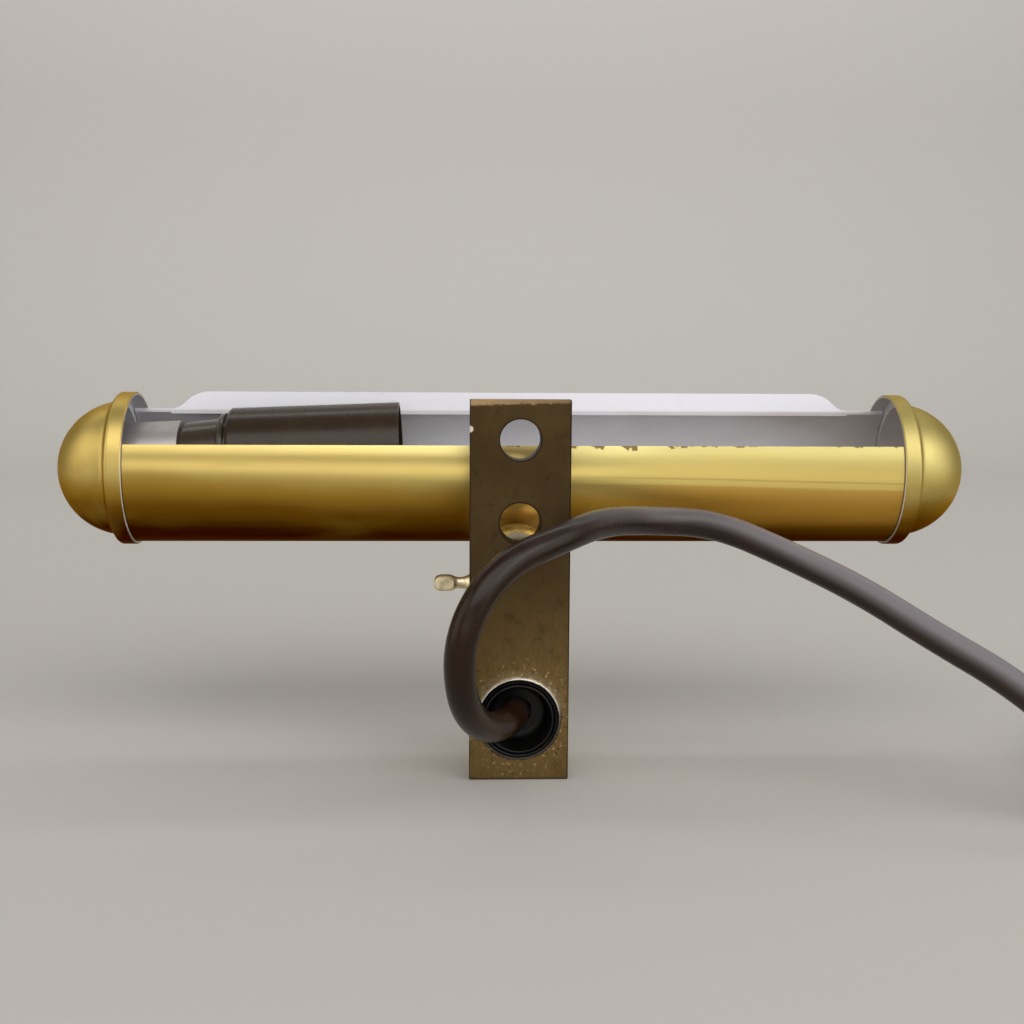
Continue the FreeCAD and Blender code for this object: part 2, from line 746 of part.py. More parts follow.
def make_bracket():
    """Steel cup behind the holder, on a bent web and a curved foot on the barrel's floor."""
    inner_d = bracket_d - 2 * bracket_wall
    deep = bracket_length + bracket_back
    cup = pipe(Vector(-deep, 0, 0), along_x, bracket_d, inner_d, deep + bracket_lip)
    plate = pipe(Vector(-deep, 0, 0), along_x, inner_d + bracket_wall, inner_d / 2, bracket_wall)
    cup = tip_holder(cup.fuse(plate))
    back = holder_back_x - bracket_length
    half = foot_width / 2
    web = block(back, back + bracket_wall, shade_y - half, shade_y + half, shade_z - barrel_r,
                shade_z + holder_rise - bracket_d / 2 + bracket_wall + 1.0)
    foot = block(back, back + foot_length, shade_y - half, shade_y + half, shade_z - barrel_r, shade_z)
    foot = foot.cut(rod(Vector(back - 1, shade_y, shade_z), along_x, 2 * (barrel_bore_r - foot_thickness),
                        foot_length + 2))
    inside = rod(Vector(back - bracket_back - 1, shade_y, shade_z), along_x,
                 2 * (barrel_bore_r - press_gap), bracket_back + foot_length + 2)
    body = cup.fuse([web, foot]).common(inside)
    for x in rivet_places():
        body = body.cut(rod(Vector(x, shade_y, shade_z - barrel_r), along_z, rivet_d + 2 * press_gap,
                            barrel_wall + foot_thickness + rivet_head))
    slot = lead_d / 2 + soft_gap
    notch = block(holder_back_x - bracket_length * 0.62, holder_back_x + 1, shade_y - slot, shade_y + slot,
                  shade_z + holder_rise - bracket_d, shade_z + holder_rise - bracket_d / 4)
    return body.cut(notch.cut(inside_foot())).removeSplitter()


def inside_foot():
    """Room below the lead's notch that the foot keeps."""
    start = Vector(holder_back_x - 2 * bracket_length, shade_y, shade_z)
    return pipe(start, along_x, 2 * barrel_d, 2 * (barrel_bore_r - foot_thickness), 4 * bracket_length)


def make_rivets():
    """Two flush rivets that hold the bracket's foot to the barrel."""
    rivets = []
    low = shade_z - barrel_r
    foot_r = barrel_bore_r - foot_thickness
    hollow = foot_r - math.sqrt(foot_r ** 2 - (rivet_head_d / 2) ** 2)
    grip = barrel_wall + foot_thickness + hollow + face_gap
    for x in rivet_places():
        shank = rod(Vector(x, shade_y, low), along_z, rivet_d, grip)
        head = rod(Vector(x, shade_y, low + grip), along_z, rivet_head_d, rivet_head)
        top_edges = [e for e in head.Edges if e.BoundBox.ZMin > low + grip + 0.1]
        head = head.makeFillet(rivet_head * 0.45, top_edges)
        rivets.append(shank.fuse(head).removeSplitter())
    return rivets


# ---- cord and wiring -----------------------------------------------------------------------------------


def route_wire(points, share=0.45):
    """Straight runs joined by tangent arcs that use share of the shorter run beside each point."""
    corners = [Vector(*p) for p in points]
    edges = []
    radii = []
    last = corners[0]
    for before, here, after in zip(corners, corners[1:], corners[2:]):
        into = (here - before).normalize()
        out = (after - here).normalize()
        half_turn = into.getAngle(out) / 2
        cut = share * min((here - before).Length, (after - here).Length)
        radius = cut / math.tan(half_turn)
        inward = (out - into).normalize()
        middle = here + inward * (radius / math.cos(half_turn) - radius)
        start = here - into * cut
        end = here + out * cut
        edges.append(line(last, start))
        edges.append(arc(start, middle, end))
        radii.append(round(radius, 1))
        last = end
    edges.append(line(last, corners[-1]))
    return Part.Wire(edges), radii


def sweep_route(name, points, diameter):
    wire, radii = route_wire(points)
    heading = Vector(*points[1]) - Vector(*points[0])
    ring = Part.Wire(Part.makeCircle(diameter / 2, Vector(*points[0]), heading))
    tube = wire.makePipeShell([ring], True, False)
    expected = math.pi * diameter ** 2 / 4 * wire.Length
    print(name, "length", round(wire.Length, 1), "radii", radii, "volume", round(tube.Volume / expected, 4))
    return tube


coil_low = floor_z + tie_thickness + 0.2
coil_in_r = coil_mid_d / 2 - coil_columns * cord_d / 2
coil_out_r = coil_mid_d / 2 + coil_columns * cord_d / 2
coil_height = coil_layers * cord_d


def coil_point(angle, radius, height):
    turn = math.radians(angle)
    return (coil_centre[0] + radius * math.cos(turn), coil_centre[1] + radius * math.sin(turn), height)


def make_coil():
    start = Vector(coil_centre[0], coil_centre[1], coil_low)
    ring = pipe(start, along_z, 2 * coil_out_r, 2 * coil_in_r, coil_height)
    rims = [e for e in ring.Edges if e.BoundBox.ZLength < 0.1]
    return ring.makeFillet(cord_d * 0.45, rims)


def make_lead_cord():
    """Cord from the grommet's web to the outer turn of the coil."""
    landing = coil_low + cord_d / 2
    outer = coil_out_r - cord_d / 2
    points = [(0, cord_end_y, cord_hole_z)] + cord_route
    points.append(coil_point(coil_start_angle, outer + 0.3, landing))
    points.append(coil_point(coil_start_angle + 16, outer - 0.4, landing))
    return sweep_route("flex_lead", points, cord_d)


def on_tail(reach, height):
    """Point at a distance along the straight line on which the cord leaves the coil."""
    outer = coil_out_r - cord_d / 2
    turn = math.radians(coil_end_angle)
    x, y, z = coil_point(coil_end_angle, outer, height)
    return (x - math.sin(turn) * reach, y + math.cos(turn) * reach, z)


plug_z = floor_z + plug_height / 2
relief_socket = 4.0


def tail_points():
    """From the last, top turn of the coil into the plug's strain relief."""
    outer = coil_out_r - cord_d / 2
    top = coil_low + (coil_layers - 0.5) * cord_d
    first = coil_point(coil_end_angle - 16, outer, top)
    return [first, on_tail(0, top), on_tail(tail_length / 2, top - 0.5),
            on_tail(tail_length - relief_socket, plug_z), on_tail(tail_length + relief_socket, plug_z)]


def place_plug(shape):
    """Moves a piece drawn along +Y from the origin to where the plug lies."""
    placed = shape.copy()
    placed.rotate(Vector(0, 0, 0), along_z, coil_end_angle)
    placed.translate(Vector(*on_tail(tail_length, plug_z)))
    return placed


def make_plug_relief():
    """Tapered sleeve with the socket that the cord enters."""
    low_r = cord_d / 2
    outline = [(0, low_r + 0.9), (0, low_r), (relief_socket, low_r), (relief_socket, 0),
               (plug_relief_length + 1, 0), (plug_relief_length + 1, plug_relief_d / 2),
               (plug_relief_length - 2, plug_relief_d / 2)]
    return spin_outline(outline, Vector(0, 0, 0), along_y, along_x)


def make_grip():
    """Moulded grip: waisted at the cord's end, widening to a flat face."""
    sections = [(0, 0.56), (0.2, 0.62), (0.42, 0.8), (0.62, 0.96), (0.78, 1.0), (1.0, 0.98)]
    wires = []
    for place, share in sections:
        y = plug_relief_length + plug_body_length * place
        wires.append(rounded_frame(y, plug_width * share / 2, plug_height * share / 2))
    return Part.makeLoft(wires, True, True)


def rounded_frame(y, wide, high):
    """Rounded rectangle of half-width wide and half-height high, in a plane across Y."""
    corner = 0.35 * high
    quarter = corner * (1 - math.sqrt(0.5))
    edges = []
    for side, top in ((1, -1), (1, 1), (-1, 1), (-1, -1)):
        turn = side * top
        flat = Vector(side * (wide - corner), y, top * high)
        upright = Vector(side * wide, y, top * (high - corner))
        middle = Vector(side * (wide - quarter), y, top * (high - quarter))
        ends = (flat, upright) if turn < 0 else (upright, flat)
        if edges:
            edges.append(line(last, ends[0]))
        else:
            first = ends[0]
        edges.append(arc(ends[0], middle, ends[1]))
        last = ends[1]
    edges.append(line(last, first))
    return Part.Wire(edges)


def make_plug():
    body = make_grip().fuse(make_plug_relief())
    for x in (-blade_pitch / 2, blade_pitch / 2):
        body = body.cut(blade(x))
    return place_plug(body.cut(ground_pin()).removeSplitter())


plug_face = plug_relief_length + plug_body_length
blade_rise = pin_offset / 3


def blade(x):
    half = blade_thickness / 2
    return block(x - half, x + half, plug_face - pin_root, plug_face + blade_length,
                 blade_rise - blade_width / 2, blade_rise + blade_width / 2)


def ground_pin():
    start = Vector(0, plug_face - pin_root, blade_rise - pin_offset)
    pin = rod(start, along_y, pin_d, pin_length + pin_root)
    tip = plug_face + pin_length - 0.1
    return pin.makeFillet(pin_d * 0.4, [e for e in pin.Edges if e.BoundBox.YMin > tip])


def make_tie():
    """Strap round the coil's section, closed with a small folded tab."""
    wide = coil_out_r - coil_in_r + 2 * soft_gap
    outer_x = coil_mid_d / 2 + wide / 2
    inner_x = coil_mid_d / 2 - wide / 2
    low = coil_low - 0.2
    high = coil_low + coil_height + soft_gap
    t = tie_thickness
    half = tie_width / 2
    outside = block(inner_x - t, outer_x + t, -half, half, low - t, high + t)
    hollow = block(inner_x, outer_x, -half - 1, half + 1, low, high)
    tab = block(outer_x - 3.0, outer_x + t, -half, half, high + t, high + 2.6)
    strap = outside.cut(hollow).fuse(tab).removeSplitter()
    strap.rotate(Vector(0, 0, 0), along_z, tie_angle)
    strap.translate(Vector(coil_centre[0], coil_centre[1], 0))
    return strap


def make_cores():
    """Cord cores from the clamp up to the switch."""
    low = key_z - switch_height / 2
    points = [(0, cord_end_y + soft_gap, cord_hole_z), (0, housing_y - 0.2, cord_hole_z + 0.4),
              (0, housing_y + 0.6, cord_hole_z + 9), (0, housing_y, low - 6), (0, housing_y, low)]
    return sweep_route("supply_cores", points, core_d)


def make_switch_leads():
    """Leads from the back of the switch through the rear nipple into the lower cup."""
    back = housing_y + switch_depth / 2
    x = -(cup_depth - cup_wall) / 2
    points = [(0, back + lead_d / 4, pivot_z + 2.2), (0, boss_back - 1.5, pivot_z),
              (x * 0.7, shade_y - cup_r - 1, pivot_z), (x, shade_y - pivot_screw_d / 2 - lead_d, pivot_z)]
    return sweep_route("switch_leads", points, lead_d)


def make_shade_leads():
    """Leads from the upper cup, up the nipple and along the barrel's floor to the holder."""
    x = (cup_depth - cup_wall) / 2
    top = shade_z - barrel_bore_r + inner_saddle_thickness + locknut_thickness + nipple_end
    floor = shade_z - barrel_bore_r + lead_d / 2 + soft_gap
    over_foot = floor + foot_thickness + rivet_head + soft_gap
    end = holder_back_x
    turn = bracket_length * 0.4
    axis_z = shade_z + holder_rise
    points = [(x, shade_y, pivot_z + pivot_screw_d / 2 + lead_d), (x * 0.4, shade_y, saddle_low),
              (0, shade_y, top - 3), (-2, shade_y, top + 2.2), (-9, shade_y, top + 2.4),
              (-18, shade_y, floor + 1.6), (-32, shade_y + 1, floor), (-48, shade_y, floor + 0.1),
              (-64, shade_y + 1, floor), (end + 16.5, shade_y + 0.5, floor + 0.7),
              (end + 10.5, shade_y, over_foot), (end + 2, shade_y, over_foot + 0.2),
              (end - turn, shade_y, over_foot + 1.2),
              (end - turn - 0.8, shade_y, axis_z - 6.0), (end - turn + 0.4, shade_y, axis_z),
              (end + 0.5, shade_y, axis_z)]
    return sweep_route("shade_leads", points, lead_d)


# ---- all nodes -------------------------------------------------------------------------------------------


def main():
    os.makedirs("parts", exist_ok=True)
    save("bracket_bar", make_bar())
    save("switch_housing", make_housing())
    save("housing_dome", make_dome())
    save("housing_base", make_base())
    save("entry_ferrule", make_ferrule())
    save("cord_grommet", make_grommet())
    save("cord_clamp", make_clamp())
    save("switch_body", make_switch_body())
    save("switch_bushing", make_bushing())
    save("bushing_nut", make_bushing_nut())
    save("switch_shaft", make_shaft())
    save("switch_key", make_key())
    save("rear_nipple", make_rear_nipple())
    save("swivel_lower", make_swivel_lower())
    save("swivel_upper", make_swivel_upper())
    save("pivot_screw", make_pivot_screw())
    save("pivot_nut", make_pivot_nut())
    save("spring_washer", make_spring_washer())
    save("shade_nipple", make_shade_nipple())
    save("outer_saddle", make_outer_saddle())
    save("inner_saddle", make_inner_saddle())
    save("shade_locknut", make_locknut())
    save("shade_barrel", make_barrel())
    cap = make_cap()
    save("end_cap_right", cap)
    save("end_cap_left", cap.mirror(Vector(0, 0, 0), along_x))
    save("holder_bracket", make_bracket())
    save("bracket_rivets", *make_rivets())
    save("holder_neck", make_neck())
    save("holder_collar", make_collar())
    save("holder_sleeve", make_sleeve())
    save("screw_shell", make_shell())
    save("centre_contact", make_contact())
    save("supply_cores", make_cores())
    save("switch_leads", make_switch_leads())
    save("shade_leads", make_shade_leads())
    save("flex_lead", make_lead_cord())
    save("flex_coil", make_coil())
    save("flex_tail", sweep_route("flex_tail", tail_points(), cord_d))
    save("coil_tie", make_tie())
    save("plug_body", make_plug())
    save("plug_blades", place_plug(blade(-blade_pitch / 2)), place_plug(blade(blade_pitch / 2)))
    save("plug_pin", place_plug(ground_pin()))


main()
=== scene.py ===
import math

import bmesh
import bpy
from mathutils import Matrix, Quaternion, Vector


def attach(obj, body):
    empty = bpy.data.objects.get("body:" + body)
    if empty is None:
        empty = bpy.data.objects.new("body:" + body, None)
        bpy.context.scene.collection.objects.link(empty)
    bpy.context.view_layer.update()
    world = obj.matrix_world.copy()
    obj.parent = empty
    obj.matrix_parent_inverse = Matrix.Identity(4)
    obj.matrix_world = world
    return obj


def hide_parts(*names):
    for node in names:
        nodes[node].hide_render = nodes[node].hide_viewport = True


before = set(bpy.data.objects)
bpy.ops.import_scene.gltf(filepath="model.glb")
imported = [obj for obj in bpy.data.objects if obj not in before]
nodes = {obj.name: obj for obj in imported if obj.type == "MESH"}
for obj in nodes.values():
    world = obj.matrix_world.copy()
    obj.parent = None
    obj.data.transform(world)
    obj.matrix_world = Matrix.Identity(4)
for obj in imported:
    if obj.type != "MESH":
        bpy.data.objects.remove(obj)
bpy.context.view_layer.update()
scene = bpy.context.scene
mm = 0.001
weld = 1e-6  # points nearer than this become one, in metres
cutReach = 1e-7  # points nearer than this lie on a cut


# the small tools that every piece uses

def rgb(red, green, blue):
    return (red, green, blue, 1.0)


class Value:
    # a socket whose Python operators add Math nodes
    def __init__(self, finish, socket):
        self.finish = finish
        self.socket = socket

    def maths(self, operation, *values):
        values = dict(enumerate(values))
        return self.finish.node("ShaderNodeMath", {"operation": operation}, values)

    def __add__(self, other):
        return self.maths("ADD", self, other)

    def __radd__(self, other):
        return self.maths("ADD", other, self)

    def __sub__(self, other):
        return self.maths("SUBTRACT", self, other)

    def __rsub__(self, other):
        return self.maths("SUBTRACT", other, self)

    def __mul__(self, other):
        return self.maths("MULTIPLY", self, other)

    def __rmul__(self, other):
        return self.maths("MULTIPLY", other, self)

    def root(self):
        return self.maths("SQRT", self)

    def size(self):
        return self.maths("ABSOLUTE", self)

    def most(self, other):
        return self.maths("MAXIMUM", self, other)

    def least(self, other):
        return self.maths("MINIMUM", self, other)

    def sway(self, amount):
        # a noise, which lies about a half, made to lie about nought
        return (self - 0.5) * amount

    def rise(self, low, high):
        # 0 below low, 1 above high, smooth between
        values = {"Value": self, "From Min": low, "From Max": high}
        return self.finish.node("ShaderNodeMapRange", {"interpolation_type": "SMOOTHSTEP"}, values)

    def fall(self, low, high):
        return 1 - self.rise(low, high)

    def other(self, output):
        return Value(self.finish, self.socket.node.outputs[output])


def reach(first, second):
    # straight distance, from the distances in two square directions
    return (first * first + second * second).root()


class Finish:
    # one material: its principled shader and the nodes that vary it
    def __init__(self, name, colour, roughness, metallic=0.0, **shader):
        self.material = bpy.data.materials.new(name)
        self.material.use_nodes = True
        self.material.diffuse_color = colour
        self.tree = self.material.node_tree
        self.shader = self.tree.nodes["Principled BSDF"]
        self.set("Base Color", colour)
        self.set("Roughness", roughness)
        self.set("Metallic", metallic)
        for words, value in shader.items():
            self.set(words.replace("_", " "), value)

    def set(self, socketName, value):
        self.give(self.shader.inputs[socketName], value)

    def give(self, socket, value):
        if isinstance(value, Value):
            self.tree.links.new(value.socket, socket)
        else:
            socket.default_value = value

    def node(self, kind, settings=None, values=None, output=0):
        made = self.tree.nodes.new(kind)
        for name, value in (settings or {}).items():
            setattr(made, name, value)
        for name, value in (values or {}).items():
            self.give(made.inputs[name], value)
        return Value(self, made.outputs[output])

    def place(self, scale, centre=(0, 0, 0)):
        # object coordinates from a centre in millimetres, stretched by one number or by three
        if not isinstance(scale, tuple):
            scale = (scale, scale, scale)
        where = self.node("ShaderNodeTexCoord", output="Object")
        away = tuple(-c * mm * s for c, s in zip(centre, scale))
        values = {"Vector": where, "Location": away, "Scale": scale}
        return self.node("ShaderNodeMapping", None, values)

    def axes(self, centre=(0, 0, 0)):
        # x, y and z in millimetres from a centre
        x = self.node("ShaderNodeSeparateXYZ", None, {"Vector": self.place(1 / mm, centre)})
        return x, x.other("Y"), x.other("Z")

    def noise(self, place, detail=3.0, roughness=0.5):
        values = {"Vector": place, "Scale": 1.0, "Detail": detail, "Roughness": roughness}
        return self.node("ShaderNodeTexNoise", None, values)

    def mix(self, amount, under, over):
        # sockets 6 and 7 are the two colours, and output 2 is their mixture
        values = {0: amount, 6: under, 7: over}
        return self.node("ShaderNodeMix", {"data_type": "RGBA"}, values, 2)

    def marked(self, colour, marks, masks):
        # lays one mark after another over a colour, each where its mask shows it
        for name, mask in masks.items():
            strength, tone = marks[name]
            colour = self.mix(mask * strength, colour, tone)
        return colour

    def bump(self, height, strength, depth):
        # depth is in millimetres
        values = {"Height": height, "Strength": strength, "Distance": depth * mm}
        self.set("Normal", self.node("ShaderNodeBump", None, values))


def newPiece(name, shape, body, finish, smooth=35):
    # turns a bmesh into a finished piece that rides on a body
    bmesh.ops.remove_doubles(shape, verts=shape.verts, dist=weld)
    bmesh.ops.recalc_face_normals(shape, faces=shape.faces)
    mesh = bpy.data.meshes.new(name)
    shape.to_mesh(mesh)
    shape.free()
    piece = bpy.data.objects.new(name, mesh)
    scene.collection.objects.link(piece)
    mesh.materials.append(finish.material)
    mesh.shade_smooth()
    mesh.set_sharp_from_angle(angle=math.radians(smooth))
    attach(piece, body)
    return piece


def spun(outline, start, axis, steps=96, closed=False):
    # turns (along, radius) pairs in millimetres round an axis
    axis = Vector(axis)
    side = axis.orthogonal().normalized()
    shape = bmesh.new()
    ring = [shape.verts.new((Vector(start) + axis * a + side * r) * mm) for a, r in outline]
    pairs = list(zip(ring, ring[1:]))
    if closed:
        pairs.append((ring[-1], ring[0]))
    edges = [shape.edges.new(pair) for pair in pairs]
    bmesh.ops.spin(shape, geom=ring + edges, cent=Vector(start) * mm, axis=axis,
                   angle=math.tau, steps=steps, use_merge=True)
    return shape


# camera, in millimetres and radians, and its focal length in pixels of a square image

view = {"place": (-15.08, -332.25, 36.34), "yaw": 0.0391, "pitch": 0.1313, "roll": 0.0062,
        "focalPixels": 1337.2, "imagePixels": 1024, "nearest": 10}


def makeCamera():
    yaw = view["yaw"]
    pitch = view["pitch"]
    looking = Vector((math.sin(yaw) * math.cos(pitch), math.cos(yaw) * math.cos(pitch),
                      -math.sin(pitch)))
    lens = bpy.data.cameras.new("viewer")
    lens.lens = lens.sensor_width * view["focalPixels"] / view["imagePixels"]
    lens.clip_start = view["nearest"] * mm
    viewer = bpy.data.objects.new("viewer", lens)
    viewer.location = Vector(view["place"]) * mm
    viewer.rotation_mode = "QUATERNION"
    rolled = Quaternion((0, 0, 1), view["roll"])
    viewer.rotation_quaternion = looking.to_track_quat("-Z", "Y") @ rolled
    scene.collection.objects.link(viewer)
    scene.camera = viewer


makeCamera()
print("camera placed")


# supply cord, in millimetres and degrees

cord = {"diameter": 7.4, "length": 1750, "floor": -77.2, "underCoil": 0.9,
        "centre": (200, -16), "middleRadius": 42, "startAngle": 230, "endAngle": 335,
        "turns": 5, "step": 24, "tailLength": 34, "tailSag": 0.5, "plugSocket": 4,
        "plugHeight": 12, "roundness": 8, "smoothness": 10}
# out of the bush, down and round the loop, over the bar and off to the coil
cordRoute = [(0, 11.3, -61), (-0.9, -2.5, -60.5), (-9.3, -19, -58.6), (-15.1, -32.5, -47.4),
             (-15.2, -36.5, -29.8), (-5.9, -30, -16.1), (9.3, -19, -11.2), (20.7, -4, -9.3),
             (34.7, 9, -10.9), (52, 13, -12.3), (69.5, 5, -19.3), (85.1, -8, -26.3),
             (99.8, -20, -35.4), (114.5, -30, -43.6), (128.5, -37, -55.2),
             (140.5, -43.5, -66.5), (153.5, -50, -72.6)]
# by the angle wound so far: how many cords in from the outside, and how many up
coilStages = [(0, 0, 0), (310, 0, 0), (355, 1, 0), (620, 1, 0), (665, 2, 0), (930, 2, 0),
              (975, 2, 1), (1240, 2, 1), (1285, 1, 1), (1570, 1, 1), (1615, 0, 1)]


def coilPoints():
    # three turns on the floor from the outside in, then up and back out again
    thick = cord["diameter"]
    low = cord["floor"] + cord["underCoil"] + thick / 2
    outer = cord["middleRadius"] + thick
    whole = 360 * cord["turns"] + cord["endAngle"] - cord["startAngle"]
    stages = coilStages + [(whole, *coilStages[-1][1:])]
    count = round(whole / cord["step"])
    spread = 1 / math.cos(math.radians(whole / count / 2))  # the curve runs inside its points
    x, y = cord["centre"]
    points = []
    for index in range(count + 1):
        angle = whole * index / count
        passed = [pair for pair in zip(stages, stages[1:]) if pair[0][0] <= angle]
        before, after = passed[-1]
        share = (angle - before[0]) / (after[0] - before[0])
        share = share * share * (3 - 2 * share)  # an easy start and end to each crossing
        inward, upward = (a + (b - a) * share for a, b in zip(before[1:], after[1:]))
        radius = (outer - inward * thick) * spread
        turn = math.radians(cord["startAngle"] + angle)
        points.append((x + radius * math.cos(turn), y + radius * math.sin(turn),
                       low + upward * thick))
    return points


def tailPoint(reached, height):
    # along the straight line on which the cord leaves the coil
    turn = math.radians(cord["endAngle"])
    outer = cord["middleRadius"] + cord["diameter"]
    x, y = cord["centre"]
    return (x + outer * math.cos(turn) - reached * math.sin(turn),
            y + outer * math.sin(turn) + reached * math.cos(turn), height)


def makeCord(finish):
    height = cord["floor"] + cord["plugHeight"]
    tail = cord["tailLength"]
    socket = cord["plugSocket"]
    points = cordRoute + coilPoints()
    points += [tailPoint(tail / 2, height - cord["tailSag"]), tailPoint(tail - socket, height),
               tailPoint(tail + socket, height)]
    curve = bpy.data.curves.new("supplyCord", "CURVE")
    curve.dimensions = "3D"
    curve.bevel_depth = cord["diameter"] / 2 * mm
    curve.bevel_resolution = cord["roundness"]
    curve.resolution_u = cord["smoothness"]
    line = curve.splines.new("NURBS")
    line.points.add(len(points) - 1)
    for point, place in zip(line.points, points):
        point.co = (*(c * mm for c in place), 1)
    line.order_u = 3
    line.use_endpoint_u = True
    piece = bpy.data.objects.new("supplyCord", curve)
    scene.collection.objects.link(piece)
    curve.materials.append(finish.material)
    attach(piece, "bracket")
    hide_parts("flex_lead", "flex_coil", "flex_tail")


# finish of the shade: sizes in millimetres, and each mark's strength and colour

shade = {"y": 37.441, "z": -0.405, "radius": 20.1, "wall": 0.8, "nearAngle": 23.3,
         "lipBehind": 12.5, "lipFrom": 14.1, "bend": 15.4, "rimX": 103.3, "bandInside": 20.3,
         "hollowX": 107.2, "bandEnd": 107.9, "ballX": 106.25, "ballRadius": 18.45,
         "chipsFrom": (12, 20), "chipsTo": (36, 46)}
sheet = {"colour": rgb(0.56, 0.41, 0.13), "tint": rgb(0.7, 0.45, 0.15), "coatRoughness": 0.3,
         "barrelSatin": 0.29, "barrelCoat": 0.08, "capSatin": 0.41, "capCoat": 0.12}
# lacquer gold, with the painted highlight and painted shade that height sets, and the slope and
# level of the painted reflection bands
lacquer = {"gold": rgb(0.64, 0.48, 0.15), "paintedHighlightPale": rgb(0.58, 0.51, 0.22), "paintedHighlightOver": (1.5, 9),
           "paintedUnderShade": [(-8, -1, rgb(0.46, 0.27, 0.035)), (-13, -6.5, rgb(0.22, 0.1, 0.006)),
                        (-19.5, -12.5, rgb(0.055, 0.011, 0.0))],
           "uneven": 6, "slope": 0.04, "lowered": 2.5, "reflectionBandUnder": 1.6, "reflectionBandSlope": 0.021}
enamelTone = {"white": rgb(0.9, 0.91, 1.0), "paintedShadeInside": rgb(0.65, 0.65, 0.69),
              "stained": rgb(0.45, 0.4, 0.36), "rightEndDarker": 0.5, "cloud": 0.25, "dust": 0.12,
              "roughness": 0.4}
# tarnish, streaks and nicks are marks of the brass itself; the light behind the bar and the bands
# along the front are painted light and shade
barrelMarks = {"tarnish": (0.35, rgb(0.4, 0.27, 0.07)), "streaks": (0.12, rgb(0.62, 0.5, 0.22)),
               "paintedLightBehindBar": (0.62, rgb(0.85, 0.62, 0.22)), "paintedHighlightLine": (0.45, rgb(1.0, 0.8, 0.25)),
               "paintedShadeOverLine": (0.35, rgb(0.4, 0.35, 0.11)), "paintedReflectionUnderLine": (0.5, rgb(0.78, 0.44, 0.08)),
               "paintedDarkLine": (0.3, rgb(0.33, 0.2, 0.04)), "seam": (0.75, rgb(0.03, 0.018, 0.008)),
               "nick": (1, rgb(0.2, 0.14, 0.055))}
# tarnish is the brass's own; the right cap's dulled top and the step are painted shade, and the
# rim's pale line is a painted highlight
capMarks = {"tarnish": (0.4, rgb(0.42, 0.28, 0.07)), "paintedShadeRightTop": (0.45, rgb(0.5, 0.4, 0.12)),
            "step": (0.18, rgb(0.24, 0.14, 0.03)), "rim": (1, rgb(0.9, 0.82, 0.72))}


def roundAxis(finish):
    # distance along the shade, behind and above its axis, and from it
    along, behind, above = finish.axes((0, shade["y"], shade["z"]))
    return along, behind, above, reach(behind, above)


def sheetBrass(name, roughness):
    return Finish(name, sheet["colour"], roughness, 1.0, Coat_Roughness=sheet["coatRoughness"],
                  Specular_Tint=sheet["tint"])


def lacquerWithPaintedLight(finish, height):
    # lacquer with painted light: pale on top as a painted highlight, browned towards the underside
    # as painted shade
    colour = finish.mix(height.rise(*lacquer["paintedHighlightOver"]), lacquer["gold"], lacquer["paintedHighlightPale"])
    for low, high, tone in lacquer["paintedUnderShade"]:
        colour = finish.mix(height.fall(low, high), colour, tone)
    return colour


def enamel(finish, paintedShadeInside, along):
    # baked enamel, white on the lip that is bent out into the light; the grey inside is painted
    # shade, darker still towards the right end and in clouds, with dust specks over all
    dust = finish.noise(finish.place(140), 4.0)
    cloud = finish.noise(finish.place((30, 60, 60)))
    colour = finish.mix(paintedShadeInside, enamelTone["white"], enamelTone["paintedShadeInside"])
    worst = along.rise(50, 105) * enamelTone["rightEndDarker"] + cloud.rise(0.45, 0.7) * enamelTone["cloud"]
    stains = paintedShadeInside * worst + dust.rise(0.55, 0.8) * enamelTone["dust"]
    return finish.mix(stains, colour, enamelTone["stained"])


